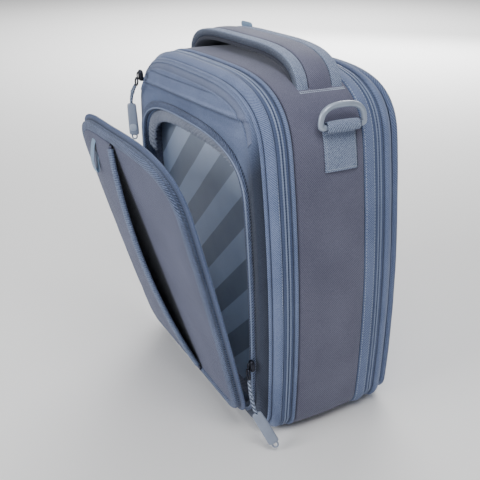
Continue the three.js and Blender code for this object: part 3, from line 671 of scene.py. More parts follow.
def zip_half(name, node, body, teeth_side):
    """A tape as wide as its CAD node, and its coil on the edge where the two halves meet."""
    front, rear = span(node)
    section = cushion_section(3.0, 6.5, front, rear, 0.15, 0.6, 5)
    tape = ring_band(name + "_tape", section, painted_shade=painted_seam_shade(section, 0.75))
    finish(tape, body, TAPE, "zip_tape", node)
    y = front + COIL_FROM_EDGE if teeth_side == "front" else rear - COIL_FROM_EDGE
    teeth = grid_piece(name + "_teeth", coil_points(bag_outline, COIL_INSET, y), True, True)
    finish(teeth, body, TEETH, "zip_tape")


ZIP_HALVES = [
    ("front_zip_body", "carcass", "front"),
    ("front_zip_lid", "front_lid", "rear"),
    ("rear_zip_body", "carcass", "rear"),
    ("rear_zip_panel", "back_panel", "front"),
]
for name, body, teeth_side in ZIP_HALVES:
    zip_half(name, name + "_half", body, teeth_side)

# %% [markdown]
# The lid starts as a band that leans in towards the front, and ends in a thin corded piping.

# %% Lid band and piping
def round_section(inset, y, radius, sides=10):
    """A circle of (inset, y) points."""
    turn = full_turn(sides)
    return np.stack([inset + radius * np.cos(turn), y + radius * np.sin(turn)], axis=1)


def lid_bands():
    """The lid's leaning side band and the corded piping in front of it."""
    front, rear = span("lid_side_band")
    section = cushion_section(2.4, 13, front, rear, 0.8, 1.6, 8, lean=6.0)
    band = ring_band("lid_band_skin", section, 0.3, 45, 7, painted_seam_shade(section, 0.5))
    finish(band, "front_lid", BLUE_TWILL, "light_twill", "lid_side_band")
    front, rear = span("lid_piping")
    piping = ring_band("lid_piping_cord", round_section(10.2, (front + rear) / 2, 2.0), 0.15, 20, 9)
    finish(piping, "front_lid", BLUE_TWILL, "webbing", "lid_piping")


lid_bands()

# %% [markdown]
# The front of the lid is one sewn face between the piping and the pocket's arched opening. It
# is lofted from one outline to the other. Near the top it carries the recess of a long zip,
# a soft crease and a raised ridge; at the sides it turns into a smooth, darker gusset.

# %% Face of the lid
FACE_INSET = 10.0
RIDGE_Z = 342.5
CREASE_Z = 355.5
FACE_TILT = 0.03
QUICK_RECESS = (3.2, 8.8)
FACE_STEPS = 96
SHOULDER_ZONE = (318, 362)
RECESS_ZONE = (326, 346)
SIDE_FADE = (-150, -128)
CREASE_FADE = (45, 80)
SIDE_SHADE_ZONE = (296, 352)
SIDE_SHADE = 0.78


def face_loft(across):
    """Points between the lid's outline and the opening's, and their distances from the lid's edge."""
    outer = bag_outline(FACE_INSET)
    inner = mouth_outline(0)
    width = np.linalg.norm(inner - outer, axis=1)[:, None]
    plan = outer[:, None, :] * (1 - across[..., None]) + inner[:, None, :] * across[..., None]
    return plan, across * width, outer[:, 1][:, None]


def face_height(plan, depth, edge_z):
    """y and painted shade: an exponential fall from the edge, then recess, crease and ridge near the top.
    """
    front, rear = span("pocket_front_frame")
    top = smooth_step(edge_z, *SHOULDER_ZONE)
    fall = 2.6 + 5.0 * top
    y = front + (rear - front) * np.exp(-depth / fall)
    x, z = plan[..., 0], plan[..., 1]
    seam_z = z - FACE_TILT * x
    inside = smooth_step(-np.abs(x), *SIDE_FADE)
    recess = smooth_step(depth, QUICK_RECESS[0] - 0.7, QUICK_RECESS[0] + 0.5)
    recess = recess * (1 - smooth_step(depth, QUICK_RECESS[1] - 0.5, QUICK_RECESS[1] + 0.7))
    zone = smooth_step(edge_z, *RECESS_ZONE)
    y = y + zone * (1.5 * recess - 0.8 * bell(depth, QUICK_RECESS[0] - 1.4, 1.1)
                    - 0.9 * bell(depth, QUICK_RECESS[1] + 1.4, 1.2))
    crease = bell(seam_z, CREASE_Z, 0.9) * inside * (1 - smooth_step(x, *CREASE_FADE))
    ridge = bell(seam_z, RIDGE_Z, 1.9) * inside
    fold = bell(seam_z, RIDGE_Z - 3.4, 1.5) * inside
    valley = bell(seam_z, RIDGE_Z - 11, 6.5) * inside
    y = y + top * (0.9 * crease - 2.2 * ridge + 1.4 * fold + 1.4 * valley)
    # Painted shade in the zip's recess and along its two edges, in the crease and the fold, and along the
    # outer edge; the sides are also darkened below the shoulders.
    painted_shade = 1 - zone * (0.35 * recess + 0.25 * bell(depth, QUICK_RECESS[0], 0.8)
                        + 0.3 * bell(depth, QUICK_RECESS[1], 0.8))
    painted_shade = painted_shade * (1 - top * (0.45 * crease + 0.45 * fold))
    painted_shade = painted_shade * (1 - SIDE_SHADE * (1 - smooth_step(edge_z, *SIDE_SHADE_ZONE)))
    painted_shade = painted_shade * (1 - 0.35 * np.exp(-depth / 1.2))
    return y, painted_shade


def lid_face():
    """The lofted face with its unevenness and creases, closed behind by three flat rows."""
    across = np.linspace(0, 1, FACE_STEPS)[None, :].repeat(RINGS, axis=0)
    plan, depth, edge_z = face_loft(across)
    y, painted_shade = face_height(plan, depth, edge_z)
    front_face = raised(plan, y)
    front_face[..., 1] += unevenness(front_face, 0.5, 35, 11) * smooth_step(depth, 2, 10)
    creases = unevenness(front_face * [0.22, 0, 1.0], 0.55, 8, 61)
    front_face[..., 1] += creases * smooth_step(depth, 8, 14) * smooth_step(edge_z, 330, 360)
    rear = span("pocket_front_frame")[1]
    outer, inner = bag_outline(FACE_INSET), mouth_outline(0)
    back = [raised(line, rear)[:, None, :] for line in (inner, (inner + outer) / 2, outer)]
    points = np.concatenate([front_face] + back, axis=1)
    # The three back rows are painted darker, as painted shade on the hidden back of the face.
    tones = np.concatenate([painted_shade, np.full((RINGS, 3), 0.6)], axis=1)
    face = grid_piece("lid_face", points, True, True, tones)
    finish(face, "front_lid", BLUE_TWILL, "light_twill", "pocket_front_frame")
    print("lid face:", points.shape[0] * points.shape[1], "points")


lid_face()


# %% [markdown]
# The long zip over the pocket is a narrow taupe strip lying in its recess.

# %% Quick-access zip
QUICK_LOWEST_Z = 330


def quick_strip():
    """A swelling strip along the recess, over the top of the bag only."""
    outer = bag_outline(FACE_INSET)
    width = np.linalg.norm(mouth_outline(0) - outer, axis=1)
    depths = np.linspace(QUICK_RECESS[0], QUICK_RECESS[1], 9)
    across = depths[None, :] / width[:, None]
    plan, depth, level = face_loft(across)
    y, _ = face_height(plan, depth, level)
    swell = 0.7 * (1 - ((depths - depths.mean()) / (depths[-1] - depths.mean())) ** 2)
    top = raised(plan, y - 0.35 - swell)
    below = top[:, ::-1] + np.array([0, 1.3, 0]) + np.array([0, 1, 0]) * swell[None, ::-1, None]
    points = np.concatenate([top, below], axis=1)[np.flatnonzero(outer[:, 1] > QUICK_LOWEST_Z)]
    strip = capped_piece("quick_zip_strip", points)
    finish(strip, "front_lid", QUICK_TAPE, "zip_tape", "quick_zip")


quick_strip()


# %% [markdown]
# The opening is edged with its half of the zip. Behind the edge hang a gathered elastic band and
# a shirred side wall, both made by adding a rib to the surface every few millimetres.

# %% Pocket rim and inside
SHIRR_DEPTH = 0.45
SHIRR_PITCH = 5.5
SHIRR_STEPS = 900
GATHER_STEPS = 1400
GATHER_PITCHES = (5.2, 8.3)


def rim():
    """The rim's tape and its teeth, round the pocket's opening."""
    front, rear = span("rim_zip_half")
    section = np.array([[9.6, rear], [9.8, front + 1.2], [8.6, front + 0.2], [4.5, front - 0.4],
                        [1.6, front], [0.5, front + 1.0], [0.3, rear]])
    # Painted shade at the tape's two edges and on its back.
    painted_shade = np.array([0.6, 0.8, 1, 1, 1, 0.8, 0.6])
    tape = ring_band("rim_tape", section, 0.3, 25, 13, painted_shade, opening_outline)
    finish(tape, "front_lid", DOOR_EDGING, "zip_tape", "rim_zip_half")
    teeth = grid_piece("rim_teeth", coil_points(mouth_outline, 2.2, front - 0.1), True, True)
    finish(teeth, "front_lid", TEETH, "zip_tape")


def pocket_inside():
    """The shirred side wall, and the gathered band that falls from the rim over it."""
    front, rear = span("pocket_side_lining")
    steps = np.linspace(front, rear, 8)
    section = np.concatenate([np.stack([np.full(8, 1.6), steps], axis=1),
                              np.stack([np.full(8, 0.4), steps[::-1]], axis=1)])
    points = band_points(section, mouth_outline, SHIRR_STEPS)
    ribs = SHIRR_DEPTH * np.sin(2 * np.pi * lengths_along(points, 0) / SHIRR_PITCH)
    side = grid_piece("pocket_side_cloth", push_out(points, ribs), True, True)
    finish(side, "front_lid", TAUPE, "elastic", "pocket_side_lining")
    front, rear = span("gathered_band")
    t = np.linspace(0, 1, 9)
    fall = np.stack([-0.6 - 14.0 * t, front + 0.5 + 2.5 * t - 2.2 * np.sin(np.pi * t)], axis=1)
    back = fall[::-1] + [0, 1.2]
    points = band_points(np.concatenate([fall, back]), mouth_outline, GATHER_STEPS)
    level = mouth_outline(0, GATHER_STEPS)[:, 1]
    edge = points[:, :1]
    shallow = np.where(edge[..., 0] > 0, 0.5 + 0.5 * smooth_step(edge[..., 2], 236, 285), 1)[..., None]
    points[..., [0, 2]] = (edge + (points - edge) * shallow)[..., [0, 2]]
    near_side = (points[:, 0, 0] > 0) & (level > 50)
    points = points[np.flatnonzero((level > 262) | near_side)]
    run = lengths_along(points, 0)
    across = np.concatenate([t, t[::-1]])[None, :]
    fine, broad = (2 * np.pi * run / pitch for pitch in GATHER_PITCHES)
    gathers = 1.3 * np.sin(fine) + 0.8 * np.sin(broad + 1)
    points[..., 1] += (0.35 + 0.65 * across) * gathers
    # Painted light on the crests of the gathers and painted shade in their hollows, on a band that is
    # painted darker as a whole.
    painted_shade = 0.78 - 0.2 * gathers * (0.4 + 0.6 * across)
    band = capped_piece("gathered_elastic", points, painted_shade)
    finish(band, "front_lid", GATHERED, "elastic", "gathered_band")


rim()
pocket_inside()

# %% [markdown]
# Flat pads, such as the pocket's back wall and the door, are filled outlines: the outline is shrunk
# towards its middle in steps, and the height of each step makes the crown and the rounded edge.

# %% Filled pads
def pad_points(outline, front, rear, crown, radius, steps=22):
    """Front and back faces joined at a rounded edge. The crown is a fourth-power dome over the front.

    Rows follow the outline, columns run from the front's middle, round the edge, to the back's.
    """
    middle = np.array([0.0, outline[:, 1].mean()])
    size = np.abs(outline[:, 0]).max()
    radius = min(radius, (rear - front) / 2)
    turn = np.sin(np.linspace(0, 1, 4) * np.pi / 2)
    reach = np.concatenate([np.linspace(0, 1 - radius / size, steps), 1 - radius / size * (1 - turn[1:])])
    into = np.clip((reach - (1 - radius / size)) / (radius / size), 0, 1)
    edge = radius * (1 - np.sqrt(1 - into * into))
    dome = 1 - reach ** 4
    reach = np.concatenate([reach, reach[::-1]])
    y = np.concatenate([front + edge - crown * dome, (rear - edge)[::-1]])
    plan = middle + (outline[:, None, :] - middle) * reach[None, :, None]
    return raised(plan, y)


def plan_map(points):
    """A cloth map straight off the front view, so a woven or printed pattern stays square."""
    return np.stack([points[..., 0], points[..., 2]], axis=-1)


def pad_piece(name, points, painted_shade=None):
    """A pad made a mesh, its middle points joined."""
    return merge_poles(grid_piece(name, points, True, False, painted_shade, uv=plan_map(points)))


# %% [markdown]
# The pocket is lined with a satin cloth woven in broad slanting stripes of two greys.

# %% Striped lining
STRIPE_PITCH = 55.0
STRIPE_LEAN = math.radians(40.5)
STRIPE_SHARPNESS = 9.0
DARK_STRIPE = (0.5, 0.5, 0.51, 1)


def striped_lining():
    """A fabric whose dark and light tones swap across soft-edged slanting stripes on its cloth map."""
    material = fabric("striped_lining", rgb(162, 178, 204), rgb(206, 220, 240), (0.9, 0.9), 0.05, 0.15, 1.0,
                      0.35, 0.08, 0.42, 0.1)
    tree = material.node_tree
    stripe = cloth_wave(tree, STRIPE_PITCH / math.sin(STRIPE_LEAN), -STRIPE_PITCH / math.cos(STRIPE_LEAN))
    edge = link_math(tree, "MULTIPLY_ADD", stripe, -STRIPE_SHARPNESS, clamp=True)
    edge.node.inputs[2].default_value = 0.5
    base_colour = tree.nodes["Principled BSDF"].inputs["Base Color"]
    source = base_colour.links[0].from_socket
    tree.links.new(colour_mix(tree, edge, source, DARK_STRIPE, "MULTIPLY"), base_colour)
    return material


STRIPES = striped_lining()


WALL_INSET = 13.6


def pocket_walls():
    """The pocket's back wall and the striped cloth over it."""
    front, rear = span("pocket_back_wall")
    wall = pad_points(bag_outline(WALL_INSET), front, rear, 0.0, 1.5)
    pad = pad_piece("pocket_back_pad", wall)
    finish(pad, "front_lid", GREY_TWILL, "dark_twill", "pocket_back_wall")
    front, rear = span("pocket_lining")
    cloth = pad_points(bag_outline(WALL_INSET), front, front + 0.6, 0.0, 0.3, 40)
    cloth[..., 1] += unevenness(cloth * [1, 0, 1], 0.35, 30, 17)
    lining = pad_piece("pocket_lining_cloth", cloth)
    finish(lining, "front_lid", STRIPES, "lining", "pocket_lining")
    area = outline_area(bag_outline(WALL_INSET)) * MM * MM
    print("pocket lining area:", round(area, 4), "square metres")


def outline_area(line):
    """Shoelace formula."""
    x, z = line[:, 0], line[:, 1]
    return abs(np.dot(x, np.roll(z, -1)) - np.dot(z, np.roll(x, -1))) / 2


pocket_walls()

# %% [markdown]
# The door is built upright about its hinge and then tipped open. Its free end has twisted a little
# in use, so the near side opens less than the far side and the far corner stands taller.

# %% Door frame of reference
DOOR_ANGLE = 12.6
DOOR_TWIST = 0.9
DOOR_HINGE = np.array([0.0, -62.5, 19.0])
DOOR_EDGE = 7.5
CORNER_LIFT = 8.0


def door_outline(outset, count=RINGS):
    """The opening's outline grown by an outset, measured up from the hinge, its far corner lifted."""
    line = opening_outline(outset, count) - [0, DOOR_HINGE[2]]
    lift = smooth_step(-line[:, 0], 20, 130) * smooth_step(line[:, 1], 190, 290)
    line[:, 1] += CORNER_LIFT * lift
    return line


def tip_door(points):
    """Turns points about the hinge by the door's angle, less the twist in proportion to x."""
    angle = np.radians(DOOR_ANGLE - DOOR_TWIST * points[..., 0] / OPENING_HALF_WIDTH)
    y, z = points[..., 1], points[..., 2]
    turned = np.stack([points[..., 0], y * np.cos(angle) - z * np.sin(angle),
                       y * np.sin(angle) + z * np.cos(angle)], axis=-1)
    return turned + DOOR_HINGE


def door_band(name, section, material, slot, *nodes, uneven=0.0, painted_shade=None):
    """One section carried round the door's outline and tipped open with it."""
    points = band_points(section, door_outline)
    if uneven:
        points = points + unevenness(points, uneven, 26, 23)[..., None] * np.array([0, 1, 0])
    piece = grid_piece(name, tip_door(points), True, True, painted_shade)
    return finish(piece, "pocket_door", material, slot, *nodes)


# %% [markdown]
# The door has three layers: a lining and a zip tape on the inside, a thin padded panel, and a fat
# rolled binding sewn right round its edge.

# %% Door layers
SLANT_TOP = np.array([-14.0, 288.0])
SLANT_FOOT = np.array([40.0, 20.0])
PANEL_FRONT = -10.2
PANEL_REAR = -4.0
PANEL_OUTSET = -9.6
LINING_OUTSET = -1.4


def left_of_slant(plan):
    """Signed distance from the slip pocket's slanting edge, positive on the pocket's side."""
    along = unit(SLANT_FOOT - SLANT_TOP)
    return (plan[..., 0] - SLANT_TOP[0]) * along[1] - (plan[..., 1] - SLANT_TOP[1]) * along[0]


def door_layers():
    """The padded panel with painted shade under the slip pocket, its lining, its rolled binding and its
    zip.
    """
    points = pad_points(door_outline(PANEL_OUTSET), PANEL_FRONT, PANEL_REAR, 1.4, 1.2, 60)
    # Painted shade on the panel's front in the gap under the slip pocket.
    painted_shade = 1 - 0.85 * smooth_step(left_of_slant(points[..., [0, 2]]), -9.0, 3.0)
    painted_shade = np.where(points[..., 1] > PANEL_FRONT + 2, 1, painted_shade)
    points[..., 1] += unevenness(points, 0.35, 40, 29)
    panel = pad_piece("door_pad", tip_door(points), painted_shade)
    finish(panel, "pocket_door", SHADED_DOOR_TWILL, "dark_twill", "door_panel")
    cloth = pad_points(door_outline(LINING_OUTSET), -3.2, -2.7, 0.0, 0.25, 30)
    lining = finish(pad_piece("door_lining_cloth", tip_door(cloth)), "pocket_door", STRIPES, "lining",
                    "door_lining")
    outline_area(door_outline(LINING_OUTSET)) * MM * MM
    turn = full_turn(18)
    fat = np.stack([-5.0 + 6.2 * signed_power(np.cos(turn), 0.8),
                    -7.4 + 4.6 * signed_power(np.sin(turn), 0.8)], axis=1)
    roll = door_band("door_binding_roll", fat, DOOR_EDGING, "light_twill", "door_binding", uneven=0.35)
    tape = np.array([[6.2, -1.6], [6.5, -2.6], [4.0, -4.2], [1.2, -5.6],
                     [-2.0, -5.8], [-2.0, -4.4], [2.0, -3.4]])
    # Painted shade on the tape's inner part, in the groove between the binding and the tape.
    tone = np.array([1.0, 1.0, 0.85, 0.35, 0.3, 0.3, 0.6])
    door_band("door_zip_tape", tape, TAPE, "zip_tape", "door_zip_half", painted_shade=tone)
    teeth = grid_piece("door_zip_teeth", tip_door(coil_points(door_outline, 5.6, -2.8)), True, True)
    finish(teeth, "pocket_door", TAPE, "zip_tape")


door_layers()

# %% [markdown]
# On the door's face is a slip pocket, open along a slanting edge. The cloth is ruled from that edge
# to the seam, and its free edge stands off the panel, highest at mid-length, so a dark gap shows.

# %% Slip pocket
GAPE = 15.0
SLIP_ROWS = 110
SLIP_COLUMNS = 40
ELASTIC_STEPS = 560
ELASTIC_RIBS = 58


def slip_edge(t):
    """Plan and stand-off of the free edge: the stand-off is GAPE times sin(pi t) to the 0.8."""
    plan = SLANT_TOP + (SLANT_FOOT - SLANT_TOP) * t[..., None]
    return plan, GAPE * np.sin(np.pi * np.clip(t, 0, 1)) ** 0.8


def slip_pocket():
    """Cloth ruled from the slanting edge to the seam, bulged between them, with a back of its own."""
    line = door_outline(-8.0)
    top = RINGS // 2
    start = top + int(np.argmin(np.abs(line[top:top + 60, 0] - SLANT_TOP[0])))
    foot = int(np.argmin(np.abs(line[:40, 0] - SLANT_FOOT[0])))
    seam = np.concatenate([line[start:], line[:foot + 1]])
    seam = even_steps(seam, SLIP_ROWS)
    t = np.linspace(0, 1, SLIP_ROWS)
    edge, height = slip_edge(t)
    s = np.linspace(0, 1, SLIP_COLUMNS)[None, :, None]
    plan = edge[:, None, :] * (1 - s) + seam[:, None, :] * s
    rise = height[:, None] * (1 - s[..., 0]) ** 1.15 + 2.2 * np.sin(np.pi * s[..., 0]) ** 0.7
    y = PANEL_FRONT - 1.8 - rise
    outer = raised(plan, y)
    outer[..., 1] += unevenness(outer, 0.9, 34, 31) * np.sin(np.pi * s[..., 0])
    inner = outer[:, ::-1] + [0, 0.9, 0]
    flat = np.concatenate([outer, inner], axis=1)
    points = tip_door(flat)
    cloth = capped_piece("slip_pocket_cloth", points, uv=plan_map(flat))
    finish(cloth, "pocket_door", SHADED_DOOR_TWILL, "dark_twill", "slash_pocket")


def tube(line, half_width, half_depth, side, sides=12, swell=None):
    """An elliptical tube along a line: its wide axis follows side, its thin axis is square to both."""
    tangent = unit(np.gradient(line, axis=0))
    side = np.asarray(side, dtype=float)
    side = unit(side - (side * tangent).sum(1, keepdims=True) * tangent)
    normal = np.cross(tangent, side)
    turn = full_turn(sides)[None, :, None]
    swell = np.ones(len(line)) if swell is None else swell
    return line[:, None, :] + swell[:, None, None] * (
        side[:, None, :] * half_width * np.cos(turn) + normal[:, None, :] * half_depth * np.sin(turn))


def slip_binding():
    """A ribbed elastic along the slip pocket's free edge."""
    t = np.linspace(0.012, 0.985, ELASTIC_STEPS)
    plan, height = slip_edge(t)
    line = np.stack([plan[:, 0] - 1.0, PANEL_FRONT - 2.4 - height, plan[:, 1]], axis=1)
    swell = 1 + 0.045 * np.sin(np.arange(ELASTIC_STEPS) / ELASTIC_STEPS * 2 * np.pi * ELASTIC_RIBS)
    points = tip_door(tube(line, 3.9, 2.5, (1.0, 0.35, 0.0), 12, swell))
    strip = capped_piece("slip_pocket_elastic", points)
    finish(strip, "pocket_door", ELASTIC, "elastic", "slash_binding")


slip_pocket()
slip_binding()


# %% [markdown]
# Small tapes on the door: a folded loop that hangs from the top of the slip pocket, a tab on the
# far edge, and a fabric hinge along the foot.

# %% Door tapes
def ribbon(line, width, thickness, across=(1.0, 0.0, 0.0)):
    """A flat strip with rounded edges along a line."""
    return tube(line, width / 2, thickness / 2, across, 14)


def straight(x, y, z):
    """A line of points from three coordinates, of which one is a row of values and two are fixed."""
    return np.stack(np.broadcast_arrays(x, y, z), axis=1)


def relax(line, times):
    """Averages each point but the ends with its neighbours, weighted 1, 2, 1, again and again."""
    for _ in range(times):
        line[1:-1] = (line[:-2] + 2 * line[1:-1] + line[2:]) / 4
    return line


def bend(corners, count):
    """A smooth line through a few corners: straight steps, then relaxed."""
    return relax(even_steps(np.array(corners, dtype=float), count), count // 3)


def door_tapes():
    """The pull loop, the edge tab, the hinge and the hook strip, each a ribbon or a tube."""
    low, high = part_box("door_loop")
    x = (low.x + high.x) / 2 / MM
    route = bend([(x, -13, 284), (x, -17, 279), (x, -24, 262), (x + 1, -25, 247), (x + 1, -22.5, 246),
                  (x, -18, 262), (x, -13.5, 276)], 70)
    loop = capped_piece("door_pull_loop", tip_door(ribbon(route, 12, 1.3)))
    finish(loop, "pocket_door", LOOP_TAPE, "webbing", "door_loop")
    edge = door_outline(DOOR_EDGE)
    at = edge[(edge[:, 0] < 0) & (edge[:, 1] > 96) & (edge[:, 1] < 112)].mean(axis=0)
    route = bend([(at[0] + 1, -9, at[1]), (at[0] - 6, -8.5, at[1]), (at[0] - 7, -6.5, at[1]),
                  (at[0] - 6, -5, at[1]), (at[0] + 1, -5, at[1])], 30)
    tab = capped_piece("door_edge_tab", tip_door(ribbon(route, 14, 1.3, (0, 0, 1.0))))
    finish(tab, "pocket_door", BINDING, "webbing", "door_side_tab")
    low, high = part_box("door_hinge_strip")
    x = np.linspace(low.x, high.x, 60) / MM
    line = straight(x, (low.y + high.y) / 2 / MM, (low.z + high.z) / 2 / MM)
    strip = capped_piece("door_hinge_cloth", tube(line, 2.6, 1.5, (0, 0, 1.0)))
    finish(strip, "front_lid", BLUE_TWILL, "light_twill", "door_hinge_strip")
    low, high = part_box("hook_strip")
    middle = (low + high) / 2 / MM
    z = np.linspace(low.z, high.z, 50) / MM
    hook = capped_piece("hook_strip_tape", ribbon(straight(middle.x, middle.y, z), 8.4, 1.8))
    finish(hook, "front_lid", TAUPE, "elastic", "hook_strip")


door_tapes()

# %% [markdown]
# The carry handle is a padded strap. In section it is a flat cushion between two webbing edges, and
# along its length it follows a superellipse that dives into the gusset at both feet.

# %% Handle
HANDLE_HALF_SPAN = 132.0
HANDLE_TOP = 401.0
HANDLE_FOOT = 330.0
HANDLE_STEPS = 260


def handle_line(depth):
    """(x, z) of the superellipse (cos^0.5, sin^0.42), moved in from its outer face by a depth."""
    angle = np.linspace(0.02, np.pi - 0.02, HANDLE_STEPS)
    cosine = np.cos(angle)
    x = (HANDLE_HALF_SPAN - depth) * signed_power(cosine, 0.5)
    z = HANDLE_FOOT + (HANDLE_TOP - HANDLE_FOOT - depth) * np.sin(angle) ** 0.42
    return even_steps(np.stack([x, z], axis=1), HANDLE_STEPS)


def handle_run(section):
    """A (depth, y) section along the handle, cut off just above the gusset."""
    points = np.stack([raised(handle_line(depth), y) for depth, y in section], axis=1)
    crown = bag_outline(0, 2000)
    crown = crown[crown[:, 1] > 250]
    order = np.argsort(crown[:, 0])
    ground = np.interp(points[..., 0].mean(axis=1), crown[order, 0], crown[order, 1])
    keep = points[..., 2].max(axis=1) > ground - 3.0
    return points[np.flatnonzero(keep)]


HANDLE_SHELL = 7.6


def handle():
    """Two webbing edges, the cushion between them, the underside and the small tag."""
    for name, node, material, slot, crown in [
            ("handle_front_webbing", "handle_webbing_front", WEBBING, "webbing", 0.3),
            ("handle_cushion", "handle_pad", GREY_TWILL, "dark_twill", 1.2),
            ("handle_rear_webbing", "handle_webbing_rear", WEBBING, "webbing", 0.3)]:
        front, rear = span(node)
        section = cushion_section(0.4, HANDLE_SHELL, front, rear, crown, 1.6, 8)
        points = handle_run(section)
        painted_shade = np.broadcast_to(painted_seam_shade(section, 0.6), points.shape[:2])
        piece = capped_piece(name, points, painted_shade)
        finish(piece, "carcass", material, slot, node)
    front, rear = span("handle_lining")
    section = cushion_section(HANDLE_SHELL + 0.3, 12.0, front + 0.5, rear - 0.5, 0, 1.2, 6)
    piece = capped_piece("handle_underside", handle_run(section))
    finish(piece, "carcass", DARK_CLOTH, "dark_twill", "handle_lining")
    low, high = box_mm("handle_tag")
    x = np.linspace(low.x, high.x, 40)
    rounded = np.clip(1 - ((x - x.mean()) / (x[-1] - x.mean())) ** 8, 0, 1) ** 0.5
    height = (high.z - low.z) / 2
    line = straight(x, (low.y + high.y) / 2 - 0.8, low.z + height - 3.2)
    tag = tube(line, height, 1.2, (0, 0, 1.0), 14)
    tag = line[:, None, :] + (tag - line[:, None, :]) * np.maximum(rounded, 0.05)[:, None, None]
    piece = capped_piece("handle_tag_tape", tag)
    finish(piece, "carcass", LOOP_TAPE, "webbing", "handle_tag")


handle()


# %% [markdown]
# Stitches are tiny spindles of thread laid along a seam. One mesh holds a whole row: the same few
# points are placed at each stitch by multiplying with that stitch's own axes.

# %% Stitches
THREAD = fabric("thread", rgb(150, 164, 190), rgb(198, 208, 226), (0.8, 0), 0.2, 0.3, 0.6, 0.1, 0.3, 0.6)
SPINDLE_LENGTH = np.array([-0.5, -0.3, 0.3, 0.5])
SPINDLE_RADIUS = np.array([0.25, 1.0, 1.0, 0.25])
SEAM_PITCH = 3.4
SEAM_LENGTH = 2.3
SEAM_RADIUS = 0.28
TACK_DISTANCES = (132.5, 134.2)
TACK_PITCH = 2.1
TACK_SIZE = (2.2, 0.55)


def stitch_row(name, body, places, directions, normals, length, radius):
    """Spindles of five sides along each direction, with their middles on the places."""
    directions = unit(directions)
    sideways = unit(np.cross(directions, normals))
    up = np.cross(sideways, directions)
    turn = full_turn(5)
    ring = np.stack([np.cos(turn), np.sin(turn)], axis=1) * radius
    along = SPINDLE_LENGTH[None, :, None, None] * length * directions[:, None, None, :]
    around = SPINDLE_RADIUS[None, :, None, None] * (ring[None, None, :, :1] * sideways[:, None, None, :]
                                                    + ring[None, None, :, 1:] * up[:, None, None, :])
    points = places[:, None, None, :] + along + around
    faces = grid_faces(4, 5, False, True)
    ends = np.array([[0, 1, 2, 3], [0, 3, 4, 4], [18, 17, 16, 15], [19, 18, 15, 15]])
    faces = [f[:3] if f[2] == f[3] else f for f in np.vstack([faces[:, ::-1], ends]).tolist()]
    rows = [[index + 20 * k for index in f] for k in range(len(places)) for f in faces]
    piece = place_object(name, points.reshape(-1, 3), rows, np.zeros((len(places) * 20, 2)))
    finish(piece, body, THREAD, "webbing")


def seam_stitches(name, body, inset, y):
    """A row of stitches right round the bag, lying on a band's outside."""
    line = bag_outline(inset, int(perimeter(bag_outline(inset)) / SEAM_PITCH))
    stitch_row(name, body, raised(line, y), raised(chords(line), 0), raised(outward(line), 0),
               SEAM_LENGTH, SEAM_RADIUS)


def handle_bar_tacks():
    """Two close rows of stitches across the gusset, just outside each foot of the handle."""
    front, rear = span("handle_webbing_front")[0], span("handle_webbing_rear")[1]
    line = bag_outline(-0.3, 4000)
    top = line[line[:, 1] > 300]
    for side, sign in (("right", 1), ("left", -1)):
        rows = []
        for distance in TACK_DISTANCES:
            at = top[np.argmin(np.abs(top[:, 0] - sign * distance))]
            rows += [(at[0], y, at[1]) for y in np.arange(front + 1, rear, TACK_PITCH)]
        places = np.array(rows)
        count = len(places)
        stitch_row("handle_tack_" + side, "carcass", places, np.tile([0.25, 1.0, 0], (count, 1)),
                   np.tile([sign * 0.75, 0, 0.66], (count, 1)), *TACK_SIZE)


handle_bar_tacks()
front, rear = span("front_binding")
seam_stitches("front_binding_stitches", "carcass", 0.55, rear - 1.4)
front, rear = span("rear_binding")
seam_stitches("rear_binding_stitches", "carcass", 0.2, front + 1.6)
seam_stitches("rear_zip_stitches", "carcass", 0.2, rear - 1.6)
front, rear = span("lid_side_band")
seam_stitches("lid_band_stitches", "front_lid", 2.3, rear - 1.4)

# %% [markdown]
# Behind the gusset come the rear zip, a padded band, the back wall and a sleeve that slips over a
# trolley's handle. The sleeve is open above and below.

# %% Back of the bag
SLEEVE_SKIN = 1.2


def bag_back():
    """The rear band, drawn in towards the back, then the back wall and the divider as pads."""
    front, rear = span("back_side_band")
    section = cushion_section(0.8, 11, front, rear, 1.2, 3.0, 9)
    drawn_in = 5.5 * np.clip((section[:, 1] - front) / (rear - front), 0, 1) ** 2
    section[:, 0] += np.where(section[:, 0] < 8, drawn_in, 0)
    band = ring_band("back_band_skin", section, 0.5, 50, 37, painted_seam_shade(section, 0.7))
    finish(band, "back_panel", BLUE_TWILL, "light_twill", "back_side_band")
    front, rear = span("back_wall")
    wall = pad_points(bag_outline(8.6), rear - 0.4, front + 0.2, 1.6, 2.5, 50)
    rough = wall[..., 1] + unevenness(wall, 0.5, 60, 41)
    wall[..., 1] = np.where(wall[..., 1] > front + 2, rough, wall[..., 1])
    pad = finish(pad_piece("back_wall_pad", wall), "back_panel", BLUE_TWILL, "dark_twill", "back_wall")
    front, rear = span("divider_panel")
    panel = pad_points(bag_outline(10.4), front + 0.3, rear - 0.3, 0.0, 1.5)
    pad = finish(pad_piece("divider_pad", panel), "carcass", GREY_TWILL, "dark_twill", "divider_panel")


